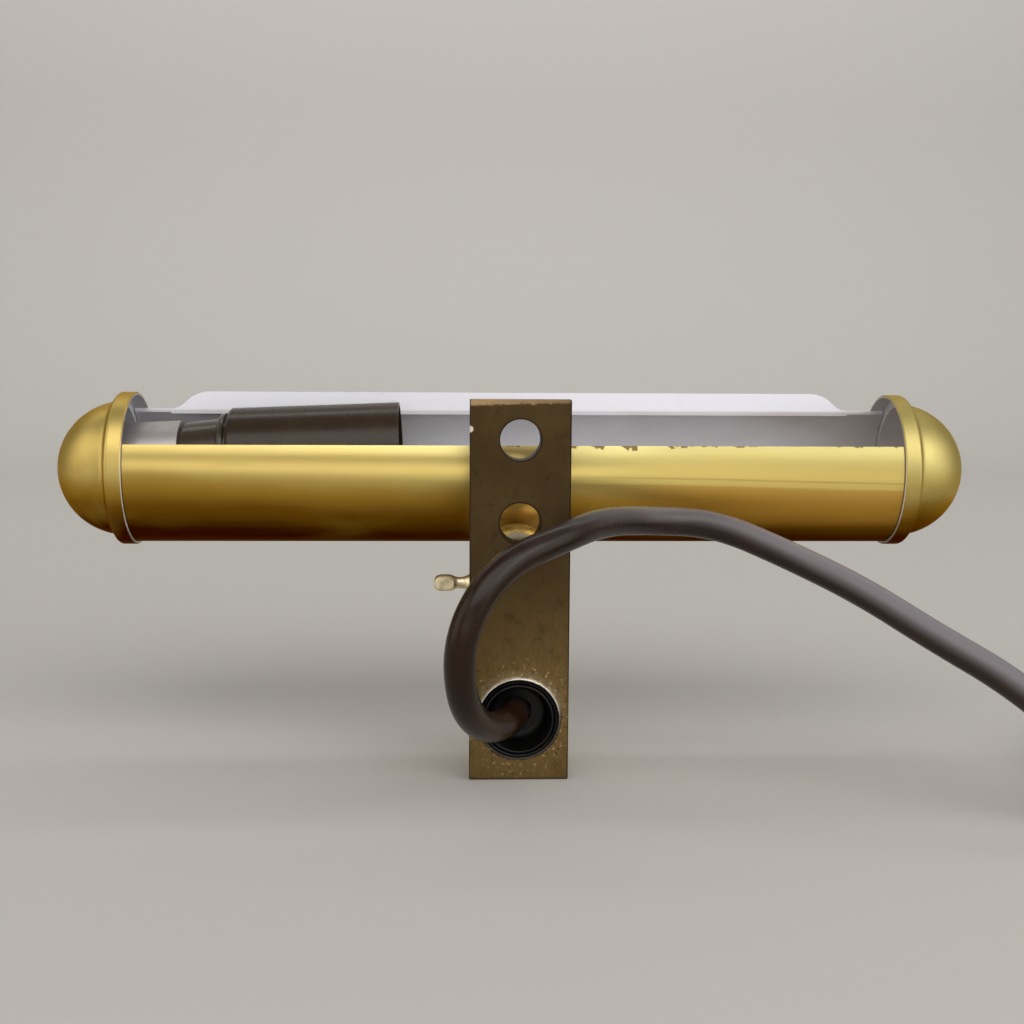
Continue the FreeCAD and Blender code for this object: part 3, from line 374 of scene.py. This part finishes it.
def makeBarrelFinish():
    # drawn brass outside, baked enamel inside, with the edge chipped where the two meet
    brass = sheetBrass("drawnBrass", sheet["barrelSatin"])
    along, behind, above, radius = roundAxis(brass)
    streaks = brass.noise(brass.place((22, 2400, 2400)), 4.0, 0.6)  # lines left by drawing
    patches = brass.noise(brass.place((26, 60, 60)))  # broad unevenness
    tarnish = patches.rise(0.52, 0.78)
    paintedLightBehindBar = along.size().fall(0, 16) * behind.fall(-17, -3)  # the middle of the front, painted light where the bar shades the barrel
    # the level that sets the painted highlight on top and the painted shade underneath
    height = above + patches.sway(lacquer["uneven"]) + along * lacquer["slope"]
    height = height + streaks.sway(1.2) - along.rise(15, 70) * lacquer["lowered"]

    # painted reflection bands along the front: a painted highlight line, painted shade above it, a
    # painted amber reflection under it, and a thin dark painted line
    reflectionBandLevel = above + along * lacquer["reflectionBandSlope"] + lacquer["reflectionBandUnder"]
    reflectionBandLevel = reflectionBandLevel + streaks.sway(0.5) + patches.sway(1.2)
    front = behind.fall(-16, -13)
    paintedHighlightLine = reflectionBandLevel.rise(-0.3, 0.4) * reflectionBandLevel.fall(3, 8) * (front * along.rise(-60, 30))
    paintedShadeOverLine = reflectionBandLevel.rise(2, 8) * front * along.rise(0, 60)
    paintedReflectionUnderLine = reflectionBandLevel.fall(-0.3, 0.3) * reflectionBandLevel.rise(-15, -6) * front * along.rise(5, 55)
    paintedDarkLine = reflectionBandLevel.rise(1.5, 1.8) * reflectionBandLevel.fall(1.9, 2.4) * along.rise(10, 40) * front
    seam = along.size().rise(shade["rimX"] - 0.4, shade["rimX"] - 0.15)  # darker line on the barrel next to the caps

    # chips under the near edge, most of them right of the middle
    nearTurn = math.radians(shade["nearAngle"])
    underEdge = above * math.cos(nearTurn) + behind * math.sin(nearTurn)
    ragged = brass.noise(brass.place((330, 190, 190)), 3.0, 0.65)
    bitten = along.rise(*shade["chipsFrom"]) * along.fall(*shade["chipsTo"]) * 0.9
    bitten = bitten + along.rise(-20, 5) * 0.4 + 0.2
    nick = (underEdge + ragged.rise(0.5, 0.64) * bitten - 0.08).rise(0, 0.2)
    nick = nick * behind.fall(-13, -12)

    outside = brass.marked(lacquerWithPaintedLight(brass, height), barrelMarks, {
        "tarnish": tarnish, "streaks": streaks.rise(0.55, 0.85), "paintedLightBehindBar": paintedLightBehindBar,
        "paintedHighlightLine": paintedHighlightLine, "paintedShadeOverLine": paintedShadeOverLine, "paintedReflectionUnderLine": paintedReflectionUnderLine,
        "paintedDarkLine": paintedDarkLine, "seam": seam, "nick": nick})

    # enamel from the middle of the wall inwards, and on the lip's face
    middle = shade["radius"] - shade["wall"] / 2
    lip = shade["lipBehind"]
    inWall = (radius + ragged.sway(0.3)).fall(middle - 0.08, middle + 0.08)
    onLip = behind.rise(lip - 0.3, lip - 0.2) * behind.fall(lip + 0.1, lip + 0.2)
    onLip = onLip * above.rise(shade["lipFrom"], shade["lipFrom"] + 0.3)
    painted = inWall.most(onLip)
    # painted shade inside the tube, below the bend
    paintedShadeInside = above.fall(shade["bend"] - 0.5, shade["bend"] + 0.4)

    brass.set("Base Color", brass.mix(painted, outside, enamel(brass, paintedShadeInside, along)))
    brass.set("Metallic", 1 - painted.most(nick * 0.7))
    satin = sheet["barrelSatin"] + streaks.sway(0.1) + tarnish * 0.1
    satin = satin + above.fall(-5, 1) * 0.14 + along.rise(12, 50) * 0.17
    brass.set("Roughness", satin + (enamelTone["roughness"] - satin) * painted)
    brass.set("Coat Weight", sheet["barrelCoat"] * height.rise(-9, 0) * (1 - painted))
    brass.bump(streaks * (1 - painted) + patches * 0.15, 0.07, 0.05)
    return brass


def makeCapFinish():
    # pressed caps with faint lines round them, a pale painted highlight along the cut rim, and
    # enamel inside under painted shade
    brass = sheetBrass("spunBrass", sheet["capSatin"])
    along, _, above, radius = roundAxis(brass)
    rings = brass.node("ShaderNodeCombineXYZ", None, {"X": along * 2.4, "Y": radius * 2.4})
    lines = brass.noise(rings, 2.0)
    patches = brass.noise(brass.place(60))
    tarnish = patches.rise(0.5, 0.75)
    outer = along.size()
    height = (above * 1.25 + 1).least(4)  # the painted highlight goes no paler on top than just over the middle
    height = height + patches.sway(lacquer["uneven"]) + along * 0.03

    # the dome is a shell round its ball, and the band lies over the barrel
    ball = reach(outer - shade["ballX"], radius)
    skin = shade["ballRadius"] - shade["wall"] / 2
    hollow = shade["hollowX"]
    inDome = ball.fall(skin - 0.08, skin + 0.08) * outer.rise(hollow - 0.3, hollow - 0.1)
    inBand = radius.fall(shade["bandInside"], shade["bandInside"] + 0.1)
    painted = inDome.most(inBand * outer.fall(hollow + 0.1, hollow + 0.2))
    # a pale painted highlight along the cut rim, fading towards the top
    rim = outer.fall(shade["rimX"] + 0.14, shade["rimX"] + 0.22) * (1 - painted)
    rim = rim * above.fall(4, 11) * (0.35 + patches.rise(0.35, 0.65) * 0.5)
    # darker in the step between band and dome: painted shade in the crease
    step = ball.rise(shade["ballRadius"] + 0.1, shade["ballRadius"] + 0.35)
    step = step * outer.rise(shade["bandEnd"] - 0.2, shade["bandEnd"] + 0.5)
    step = step * radius.fall(shade["radius"] - 0.5, shade["radius"] + 0.3)
    # painted shade dulls the upper half of the right cap
    outside = brass.marked(lacquerWithPaintedLight(brass, height), capMarks, {
        "tarnish": tarnish, "paintedShadeRightTop": along.rise(0, 60) * height.rise(-4, 2), "step": step,
        "rim": rim})
    paintedShadeInside = outer.rise(100, 101)  # painted shade over all that shows inside a cap

    brass.set("Base Color", brass.mix(painted, outside, enamel(brass, paintedShadeInside, along)))
    brass.set("Metallic", 1 - painted.most(rim * 0.6))
    satin = sheet["capSatin"] + lines.sway(0.1) + tarnish * 0.1 + along.rise(-20, 60) * 0.09
    brass.set("Roughness", satin)
    brass.set("Coat Weight", sheet["capCoat"] * height.rise(-10, 0) * (1 - painted))
    brass.bump(lines * (1 - painted), 0.1, 0.05)
    return brass


# finish of the bar: sizes in millimetres, and each mark's strength and colour

bar = {"top": 20.45, "width": 25.4, "boltZ": 10.5, "boltRadius": 5.45, "holeZ": -61,
       "holeRadius": 10.75, "chip": (-12.5, 0, 13.2), "lighterLowSpan": (-60, -18),
       "colour": rgb(0.075, 0.044, 0.017), "dark": rgb(0.058, 0.034, 0.011),
       "light": rgb(0.09, 0.057, 0.021), "metallic": 0.85, "roughness": 0.5, "relief": 0.28}
# mottle, near, pits and chip are marks of the bar itself; the dark edges and the shade under the
# hole's rim are painted shade, the halo above the hole painted highlight
barMarks = {"lighterLow": (1, rgb(0.23, 0.145, 0.05)), "mottle": (0.5, rgb(0.035, 0.019, 0.007)),
            "top": (1, rgb(0.45, 0.3, 0.15)), "edges": (0.8, rgb(0.018, 0.01, 0.005)),
            "near": (0.25, rgb(0.26, 0.17, 0.06)), "pits": (0.8, rgb(0.02, 0.012, 0.006)),
            "paintedHaloAbove": (1, rgb(0.42, 0.36, 0.25)), "paintedShadeUnderRim": (0.85, rgb(0.012, 0.008, 0.005)),
            "bareSpecksAndHighlight": (0.9, rgb(0.82, 0.68, 0.42)), "chip": (1, rgb(0.72, 0.6, 0.5))}


def makeBarFinish():
    # brown patina on a flat bar, lighter low down, with painted shade on its edges and painted
    # light and shade round the cord hole
    bronze = Finish("brownPatina", bar["colour"], bar["roughness"], bar["metallic"])
    across, behind, up = bronze.axes()
    grain = bronze.noise(bronze.place((900, 900, 280)), 4.0, 0.7)  # brush marks, upright
    cloud = bronze.noise(bronze.place((60, 60, 45)), 4.0, 0.6)  # broad patches
    speck = bronze.noise(bronze.place(1050), 2.0)  # dots
    flake = bronze.noise(bronze.place(420), 3.0, 0.7)  # ragged borders of what is worn
    mottle = bronze.noise(bronze.place(240), 5.0, 0.7)  # blotches
    # lighter towards the bottom of the bar, in broad patches
    lighterLow = (up + cloud.sway(34)).fall(*bar["lighterLowSpan"])

    # the bar's top: a worn strip, with a painted highlight brighter towards the left; painted
    # shade on its long edges and the edges of the bolt holes
    edge = flake.sway(1.6) + mottle.sway(1.4) + across * 0.03
    top = (up - edge).rise(bar["top"] - 1.3, bar["top"] - 0.6)
    half = bar["width"] / 2
    sides = (across.size() + edge * 0.12).rise(half - 0.4, half - 0.2)
    fromBolt = reach(across, up.size() - bar["boltZ"])
    boltEdge = fromBolt.fall(bar["boltRadius"], bar["boltRadius"] + 0.15)

    # round the cord's hole: a rim with a painted highlight above and painted shade below, a pale
    # painted halo above the hole, bare specks and pits
    hole = bar["holeRadius"]
    fromHole = reach(across, up - bar["holeZ"])
    rim = (fromHole + flake.sway(1.2)).fall(hole + 0.05, hole + 0.4)
    above = up.rise(bar["holeZ"] - 2, bar["holeZ"] + 9)
    paintedHaloAbove = (fromHole + mottle.sway(5)).fall(hole + 0.2, hole + 2.6) * above
    near = (fromHole + cloud.sway(8)).fall(hole + 0.8, hole + 7)
    bareSpecksAndHighlight = (rim * above * 0.6).most(speck.rise(0.62, 0.68) * near * 0.55)

    # one deep chip on the left edge
    chipAcross, _, chipUp = bronze.axes(bar["chip"])
    fromChip = (chipAcross * chipAcross + chipUp * chipUp * 0.6).root() + flake.sway(0.6)
    chip = fromChip.fall(0.5, 0.8) * behind.fall(1.0, 1.4)

    colour = bronze.mix(cloud.rise(0.3, 0.7), bar["dark"], bar["light"])
    colour = bronze.marked(colour, barMarks, {
        "lighterLow": lighterLow * (0.66 + grain.sway(1.2)), "mottle": mottle.rise(0.52, 0.7),
        "top": top * (0.8 - across * 0.02), "edges": sides.most(boltEdge), "near": near,
        "pits": speck.fall(0.32, 0.38) * near,
        "paintedHaloAbove": paintedHaloAbove * (0.2 + mottle.rise(0.45, 0.6) * 0.35), "paintedShadeUnderRim": rim * (1 - above),
        "bareSpecksAndHighlight": bareSpecksAndHighlight, "chip": chip})
    bronze.set("Base Color", colour)
    bronze.set("Metallic", bar["metallic"] - chip * 0.5)
    rough = bar["roughness"] - lighterLow * 0.06 - bareSpecksAndHighlight * 0.15 + grain.sway(0.15)
    bronze.set("Roughness", rough)
    relief = grain * 0.25 + cloud * 0.4 + mottle * 0.3 + speck * near * 0.7
    bronze.bump(relief, bar["relief"], 0.12)
    return bronze


# finishes of the fittings, the lamp holder and the cord

ferruleTone = {"colour": rgb(0.8, 0.78, 0.72), "rollHighlight": rgb(0.85, 0.82, 0.76),
               "throat": rgb(0.05, 0.045, 0.04), "highlightOnLowerSide": 0.12,
               "rollRadius": (10.28, 10.45), "roughness": 0.25}
# the cord's pale grey on its upward faces is dust and a painted sheen
sheathTone = {"colour": rgb(0.02, 0.009, 0.002), "brown": rgb(0.014, 0.005, 0.001),
              "lighter": rgb(0.028, 0.01, 0.002), "dust": rgb(0.185, 0.168, 0.182),
              "dustAndSheenFrom": (-14, 80), "dustAndSheenBelow": 0.06, "roughness": 0.28, "specular": 0.26}


def makeBrass(name, colour, roughness, worn, scale, browned=(0.6, 0.52, 0.4)):
    # turned and pressed brass fittings, browner where hands and polish don't reach
    brass = Finish(name, colour, roughness, 1.0, Coat_Weight=0.2, Coat_Roughness=0.2)
    patches = brass.noise(brass.place(scale), 4.0, 0.6)
    fine = brass.noise(brass.place(1800), 2.0)
    browner = rgb(*(c * d for c, d in zip(colour, browned)))
    brass.set("Base Color", brass.mix(patches.rise(0.45, 0.72) * worn, colour, browner))
    brass.set("Roughness", roughness + patches.sway(0.2) + fine.sway(0.08))
    brass.bump(fine, 0.08, 0.05)
    return brass


def makePlated(name, colour, roughness, scale=900):
    # plated steel or bare aluminium, dulled by scuffs
    plated = Finish(name, colour, roughness, 1.0)
    scuffs = plated.noise(plated.place(scale), 4.0, 0.7)
    duller = rgb(*(c * 0.6 for c in colour[:3]))
    plated.set("Base Color", plated.mix(scuffs.rise(0.5, 0.75) * 0.5, colour, duller))
    plated.set("Roughness", roughness + scuffs.sway(0.25))
    plated.bump(scuffs, 0.1, 0.05)
    return plated


def makeFerruleFinish():
    # nickel painted dark as shade, with a painted highlight along its outer roll, ragged with wear
    # and faint on the lower side
    nickel = Finish("wornNickel", ferruleTone["colour"], ferruleTone["roughness"], 1.0)
    across, behind, up = nickel.axes((0, 0, bar["holeZ"]))
    wear = nickel.noise(nickel.place(300), 4.0, 0.7)
    low = ferruleTone["highlightOnLowerSide"]
    side = low + (up + across * -0.3 + wear.sway(8)).rise(-5, 3) * (1 - low)
    roll = (reach(across, up) + wear.sway(0.5)).rise(*ferruleTone["rollRadius"])
    rollHighlight = roll * behind.fall(0.1, 0.4) * side
    nickel.set("Base Color", nickel.mix(rollHighlight, ferruleTone["throat"], ferruleTone["rollHighlight"]))
    nickel.set("Roughness", ferruleTone["roughness"] + wear.sway(0.3))
    return nickel


def makeMoulded(name, colour, lighter, roughness, scale, grain=0.1, **shader):
    # rubber and moulding powder: faint flow marks and a fine grain
    moulded = Finish(name, colour, roughness, **shader)
    flow = moulded.noise(moulded.place((scale, scale * 0.4, scale * 0.4)), 5.0, 0.6)
    fine = moulded.noise(moulded.place(3000), 2.0)
    moulded.set("Base Color", moulded.mix(flow.rise(0.42, 0.7) * 0.8, colour, lighter))
    moulded.set("Roughness", roughness + flow.sway(0.25) + fine.sway(0.1))
    moulded.bump(fine * 0.5 + flow * 0.5, grain, 0.08)
    return moulded


def makeCordFinish():
    # sheathed cord, dark and brown near the bush, greyer farther out with dust and a painted sheen
    # on its upward faces
    sheath = Finish("cordSheath", sheathTone["colour"], sheathTone["roughness"],
                    Specular_IOR_Level=sheathTone["specular"])
    along = sheath.axes()[0]
    flow = sheath.noise(sheath.place((90, 60, 60)), 2.0)
    fine = sheath.noise(sheath.place(3000), 2.0)
    drift = sheath.noise(sheath.place(45), 2.0)
    facing = sheath.node("ShaderNodeTexCoord", output="Normal")
    upward = sheath.node("ShaderNodeSeparateXYZ", None, {"Vector": facing}).other("Z")
    low = sheathTone["dustAndSheenBelow"]
    onTop = low + upward.rise(-0.25, 0.85) * (1 - low)
    dustAndSheen = (along + drift.sway(60)).rise(*sheathTone["dustAndSheenFrom"]) * onTop
    colour = sheath.mix(flow.rise(0.42, 0.7) * 0.6, sheathTone["brown"], sheathTone["lighter"])
    sheath.set("Base Color", sheath.mix(dustAndSheen, colour, sheathTone["dust"]))
    rough = sheathTone["roughness"] + dustAndSheen * 0.1 + flow.sway(0.2) + fine.sway(0.1)
    sheath.set("Roughness", rough)
    sheath.bump(fine * 0.4 + flow * 0.4, 0.12, 0.06)
    return sheath


finishes = {
    "barrel": makeBarrelFinish(),
    "cap": makeCapFinish(),
    "bar": makeBarFinish(),
    "ferrule": makeFerruleFinish(),
    # the dome's brass is paler than the housing's: its own pale tone, and painted light where
    # little light reaches behind the bar
    "dome": makeBrass("paleBrassBrightened", rgb(1.0, 0.88, 0.6), 0.3, worn=0.05, scale=120),
    "polished": makeBrass("polishedBrass", rgb(0.8, 0.64, 0.33), 0.2, worn=0.35, scale=120),
    "fitting": makeBrass("fittingBrass", rgb(0.62, 0.46, 0.2), 0.32, worn=0.7, scale=260),
    "key": makeBrass("keyBrass", rgb(1.0, 0.88, 0.6), 0.4, worn=0.75, scale=330,
                     browned=(0.42, 0.36, 0.26)),
    "steel": makePlated("platedSteel", rgb(0.5, 0.49, 0.49), 0.38),
    "holderSteel": makePlated("dullSteel", rgb(0.5, 0.47, 0.46), 0.48, scale=200),
    "shell": makePlated("shellAluminium", rgb(0.74, 0.73, 0.72), 0.32, scale=400),
    "rubber": makeMoulded("blackRubber", rgb(0.003, 0.003, 0.003), rgb(0.008, 0.007, 0.006),
                          0.34, scale=500, Specular_IOR_Level=0.25),
    "moulding": makeMoulded("blackMoulding", rgb(0.014, 0.014, 0.015),
                            rgb(0.026, 0.025, 0.024), 0.38, scale=90),
    "brown": makeMoulded("brownMoulding", rgb(0.03, 0.018, 0.008), rgb(0.052, 0.032, 0.015),
                         0.27, scale=60),
    "fibre": makeMoulded("brownFibre", rgb(0.024, 0.014, 0.006), rgb(0.034, 0.021, 0.009),
                         0.27, scale=60, Specular_IOR_Level=0.3),
    "cord": makeCordFinish(),
    "sleeving": makeMoulded("leadSleeving", rgb(0.33, 0.3, 0.26), rgb(0.45, 0.42, 0.37), 0.6,
                            scale=400, grain=0.4),
}

nodeFinish = {
    "bracket_bar": "bar", "switch_housing": "polished", "housing_dome": "dome",
    "housing_base": "polished", "entry_ferrule": "ferrule", "cord_grommet": "rubber",
    "cord_clamp": "steel", "switch_body": "moulding", "switch_bushing": "fitting",
    "bushing_nut": "fitting", "rear_nipple": "fitting", "swivel_lower": "polished",
    "pivot_screw": "fitting", "pivot_nut": "fitting", "spring_washer": "steel",
    "supply_cores": "sleeving", "switch_leads": "sleeving", "coil_tie": "moulding",
    "plug_body": "moulding", "plug_blades": "fitting", "plug_pin": "fitting",
    "swivel_upper": "polished", "shade_nipple": "fitting", "outer_saddle": "polished",
    "inner_saddle": "steel", "shade_locknut": "fitting", "shade_barrel": "barrel",
    "end_cap_right": "cap", "end_cap_left": "cap", "holder_bracket": "holderSteel",
    "bracket_rivets": "steel", "holder_neck": "brown", "holder_collar": "brown",
    "holder_sleeve": "fibre", "screw_shell": "shell", "centre_contact": "fitting",
    "shade_leads": "sleeving", "switch_shaft": "fitting", "switch_key": "key"}

for node, finishName in nodeFinish.items():
    mesh = nodes[node].data
    if not mesh.materials:
        mesh.materials.append(None)
    for index in range(len(mesh.materials)):
        mesh.materials[index] = finishes[finishName].material

makeCord(finishes["cord"])
print("cord laid and finishes given")


# cord entry, in millimetres from the bar's face: a rolled ferrule with a ridged rubber bush in it

entry = {"front": -0.5, "back": 10.05, "ferruleOut": 10.72, "ferruleIn": 10.02,
         "rollInside": [(0.3, 0), (0.08, 0.1), (0, 0.28)],  # behind the front, out from the bore
         "rollOutside": [(0.02, 0.26), (0.1, 0.08), (0.3, 0)],  # and in from the outside
         "bushOut": 9.99, "bushBack": 8.6, "mouthFloor": 7.6, "cordRadius": 3.7,
         "ridges": [(8.6, 0), (0.1, 0), (-0.35, 0.08), (-0.62, 0.25), (-0.6, 0.5), (-0.3, 0.68),
                    (0.1, 0.8), (-0.2, 0.93), (-0.58, 1.1), (-0.72, 1.35), (-0.6, 1.58),
                    (-0.2, 1.74), (0.5, 1.85), (3.0, 2.05), (6.6, 2.4), (7.5, 3.2), (7.6, 4.4)],
         "bushSmooth": 60}


def makeEntry():
    start = (0, 0, bar["holeZ"])
    inwards = (0, 1, 0)
    front = entry["front"]
    bore = entry["ferruleIn"]
    out = entry["ferruleOut"]
    roll = [(entry["back"], bore)] + [(front + a, bore + r) for a, r in entry["rollInside"]]
    roll += [(front + a, out - r) for a, r in entry["rollOutside"]] + [(entry["back"], out)]
    ferrule = newPiece("rolledFerrule", spun(roll, start, inwards, closed=True), "bracket",
                       finishes["ferrule"])
    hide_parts("entry_ferrule")

    ridges = [(entry["bushBack"], entry["cordRadius"])]
    ridges += [(a, entry["bushOut"] - r) for a, r in entry["ridges"]]
    ridges.append((entry["mouthFloor"], entry["cordRadius"]))
    bush = newPiece("ridgedBush", spun(ridges, start, inwards, closed=True), "bracket",
                    finishes["rubber"], entry["bushSmooth"])
    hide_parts("cord_grommet")


makeEntry()
print("cord entry made")


# lamp holder's shell with its rolled thread, in millimetres and degrees

holder = {"back": (-91.5, 37.441, -0.105), "tilt": 2.2, "yaw": 0.5, "shellSeat": 20.0,
          "shellLength": 24.0, "pitch": 3.63, "rootRadius": 13.62, "crestRadius": 12.95,
          "floorHole": 5.5, "sheet": 0.3, "threadFrom": 0.6, "threadShort": 0.9,
          "stepsPerTurn": 48, "turns": 7, "pointsPerPitch": 8, "smooth": 70}


def holderAxis():
    tilt = math.radians(holder["tilt"])
    yaw = math.radians(holder["yaw"])
    return Vector((math.cos(tilt) * math.cos(yaw), math.cos(tilt) * math.sin(yaw),
                   math.sin(tilt)))


def makeShell():
    axis = holderAxis()
    side = axis.orthogonal().normalized()
    start = Vector(holder["back"]) + axis * holder["shellSeat"]
    length = holder["shellLength"]
    pitch = holder["pitch"]
    middle = (holder["rootRadius"] + holder["crestRadius"]) / 2
    wave = (holder["rootRadius"] - holder["crestRadius"]) / 2
    steps = holder["stepsPerTurn"]
    points = holder["pointsPerPitch"]

    # one wave of the thread, spun along the axis and cut square at both ends
    shape = bmesh.new()
    first = []
    for index in range(points + 1):
        along = pitch * (index / points - 1)
        radius = middle - wave * math.cos(math.tau * index / points)
        first.append(shape.verts.new((start + axis * along + side * radius) * mm))
    line = [shape.edges.new(pair) for pair in zip(first, first[1:])]
    bmesh.ops.spin(shape, geom=first + line, cent=start * mm, axis=axis,
                   dvec=axis * (pitch / steps) * mm, angle=math.tau * holder["turns"],
                   steps=steps * holder["turns"], use_merge=False)
    for place, outward in ((holder["threadFrom"], -1), (length - holder["threadShort"], 1)):
        geometry = list(shape.verts) + list(shape.edges) + list(shape.faces)
        bmesh.ops.bisect_plane(shape, geom=geometry, dist=cutReach,
                               plane_co=(start + axis * place) * mm, plane_no=axis * outward,
                               clear_outer=True)

    # a plain mouth that flares a little, and a floor with a hole for the contact
    mouth = [(length - 1.0, middle), (length - 0.5, middle + 0.2),
             (length - 0.1, holder["rootRadius"] + 0.05)]
    floor = [(0.7, middle), (0.3, middle - 0.15), (0.15, middle - 0.6),
             (0.15, holder["floorHole"])]
    for outline in (mouth, floor):
        part = spun(outline, start, axis)
        whole = bpy.data.meshes.new("part")
        part.to_mesh(whole)
        part.free()
        shape.from_mesh(whole)
        bpy.data.meshes.remove(whole)
    piece = newPiece("threadedShell", shape, "shade", finishes["shell"], holder["smooth"])
    thickness = piece.modifiers.new("sheet", "SOLIDIFY")
    thickness.thickness = holder["sheet"] * mm
    thickness.offset = 0
    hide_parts("screw_shell")


makeShell()
print("threaded shell made")


# floor, backdrop and light, in metres, watts and radians

studio = {"floorColour": rgb(0.5, 0.485, 0.46), "floorRoughness": 0.85, "below": 0.0001,
          "backdropAt": 1.1, "sweep": 0.35, "sweepSteps": 12, "width": 6.0, "front": -2.5,
          "height": 3.0, "roomColour": rgb(1.0, 0.98, 0.95), "roomStrength": 0.22}
lights = {
    "softboxAbove": {"place": (0.25, -0.68, 0.73), "aim": (0, 0.03, 0), "size": (1.8, 0.8),
                     "power": 9.8, "colour": (1.0, 0.99, 0.97), "roll": -0.42},
    "panelFront": {"place": (0.2, -1.25, -0.03), "aim": (0, 0.03, 0), "size": (2.2, 0.38),
                   "power": 3.6, "colour": (1.0, 0.98, 0.96), "roll": -0.42},
    "sideLeft": {"place": (-1.0, -0.3, 0.4), "aim": (-0.1, 0.03, 0), "size": (0.9, 1.0),
                 "power": 3.1, "colour": (1.0, 0.95, 0.86)},
    "sideRight": {"place": (1.0, -0.4, 0.35), "aim": (0.1, 0.03, 0), "size": (0.9, 0.9),
                  "power": 3.2, "colour": (1.0, 0.98, 0.94)},
    "backdropWash": {"place": (0, 0.55, 0.9), "aim": (0, 1.1, 0.2), "size": (2.0, 0.3),
                     "power": 6.0},
}


def makeStudio():
    floorFinish = Finish("paleFloor", studio["floorColour"], studio["floorRoughness"])
    level = cord["floor"] * mm - studio["below"]
    back = studio["backdropAt"]
    sweep = studio["sweep"]
    curve = [(studio["front"], level)]
    for step in range(studio["sweepSteps"] + 1):
        turn = math.radians(90 * step / studio["sweepSteps"])
        curve.append((back - sweep + sweep * math.sin(turn),
                      level + sweep - sweep * math.cos(turn)))
    curve.append((back, studio["height"]))
    shape = bmesh.new()
    left = -studio["width"] / 2
    line = [shape.verts.new((left, y, z)) for y, z in curve]
    edges = [shape.edges.new(pair) for pair in zip(line, line[1:])]
    grown = bmesh.ops.extrude_edge_only(shape, edges=edges)
    moved = [item for item in grown["geom"] if isinstance(item, bmesh.types.BMVert)]
    bmesh.ops.translate(shape, verts=moved, vec=(studio["width"], 0, 0))
    mesh = bpy.data.meshes.new("floor")
    shape.to_mesh(mesh)
    shape.free()
    floor = bpy.data.objects.new("floor", mesh)
    mesh.materials.append(floorFinish.material)
    mesh.shade_smooth()
    scene.collection.objects.link(floor)


def makeLamp(name, place, aim, size, power, colour=(1, 1, 1), roll=0):
    light = bpy.data.lights.new(name, "AREA")
    light.shape = "RECTANGLE"
    light.size, light.size_y = size
    light.energy = power
    light.color = colour
    lamp = bpy.data.objects.new(name, light)
    lamp.location = place
    lamp.rotation_mode = "QUATERNION"
    aimed = (Vector(aim) - Vector(place)).to_track_quat("-Z", "Y")
    lamp.rotation_quaternion = aimed @ Quaternion((0, 0, 1), roll)
    lamp.visible_camera = False
    scene.collection.objects.link(lamp)


def makeLight():
    world = bpy.data.worlds.new("room")
    world.use_nodes = True
    scene.world = world
    room = world.node_tree.nodes["Background"]
    room.inputs["Color"].default_value = studio["roomColour"]
    room.inputs["Strength"].default_value = studio["roomStrength"]
    for name, settings in lights.items():
        makeLamp(name, **settings)
    scene.view_settings.view_transform = "Standard"


makeStudio()
makeLight()
print("floor and light set")
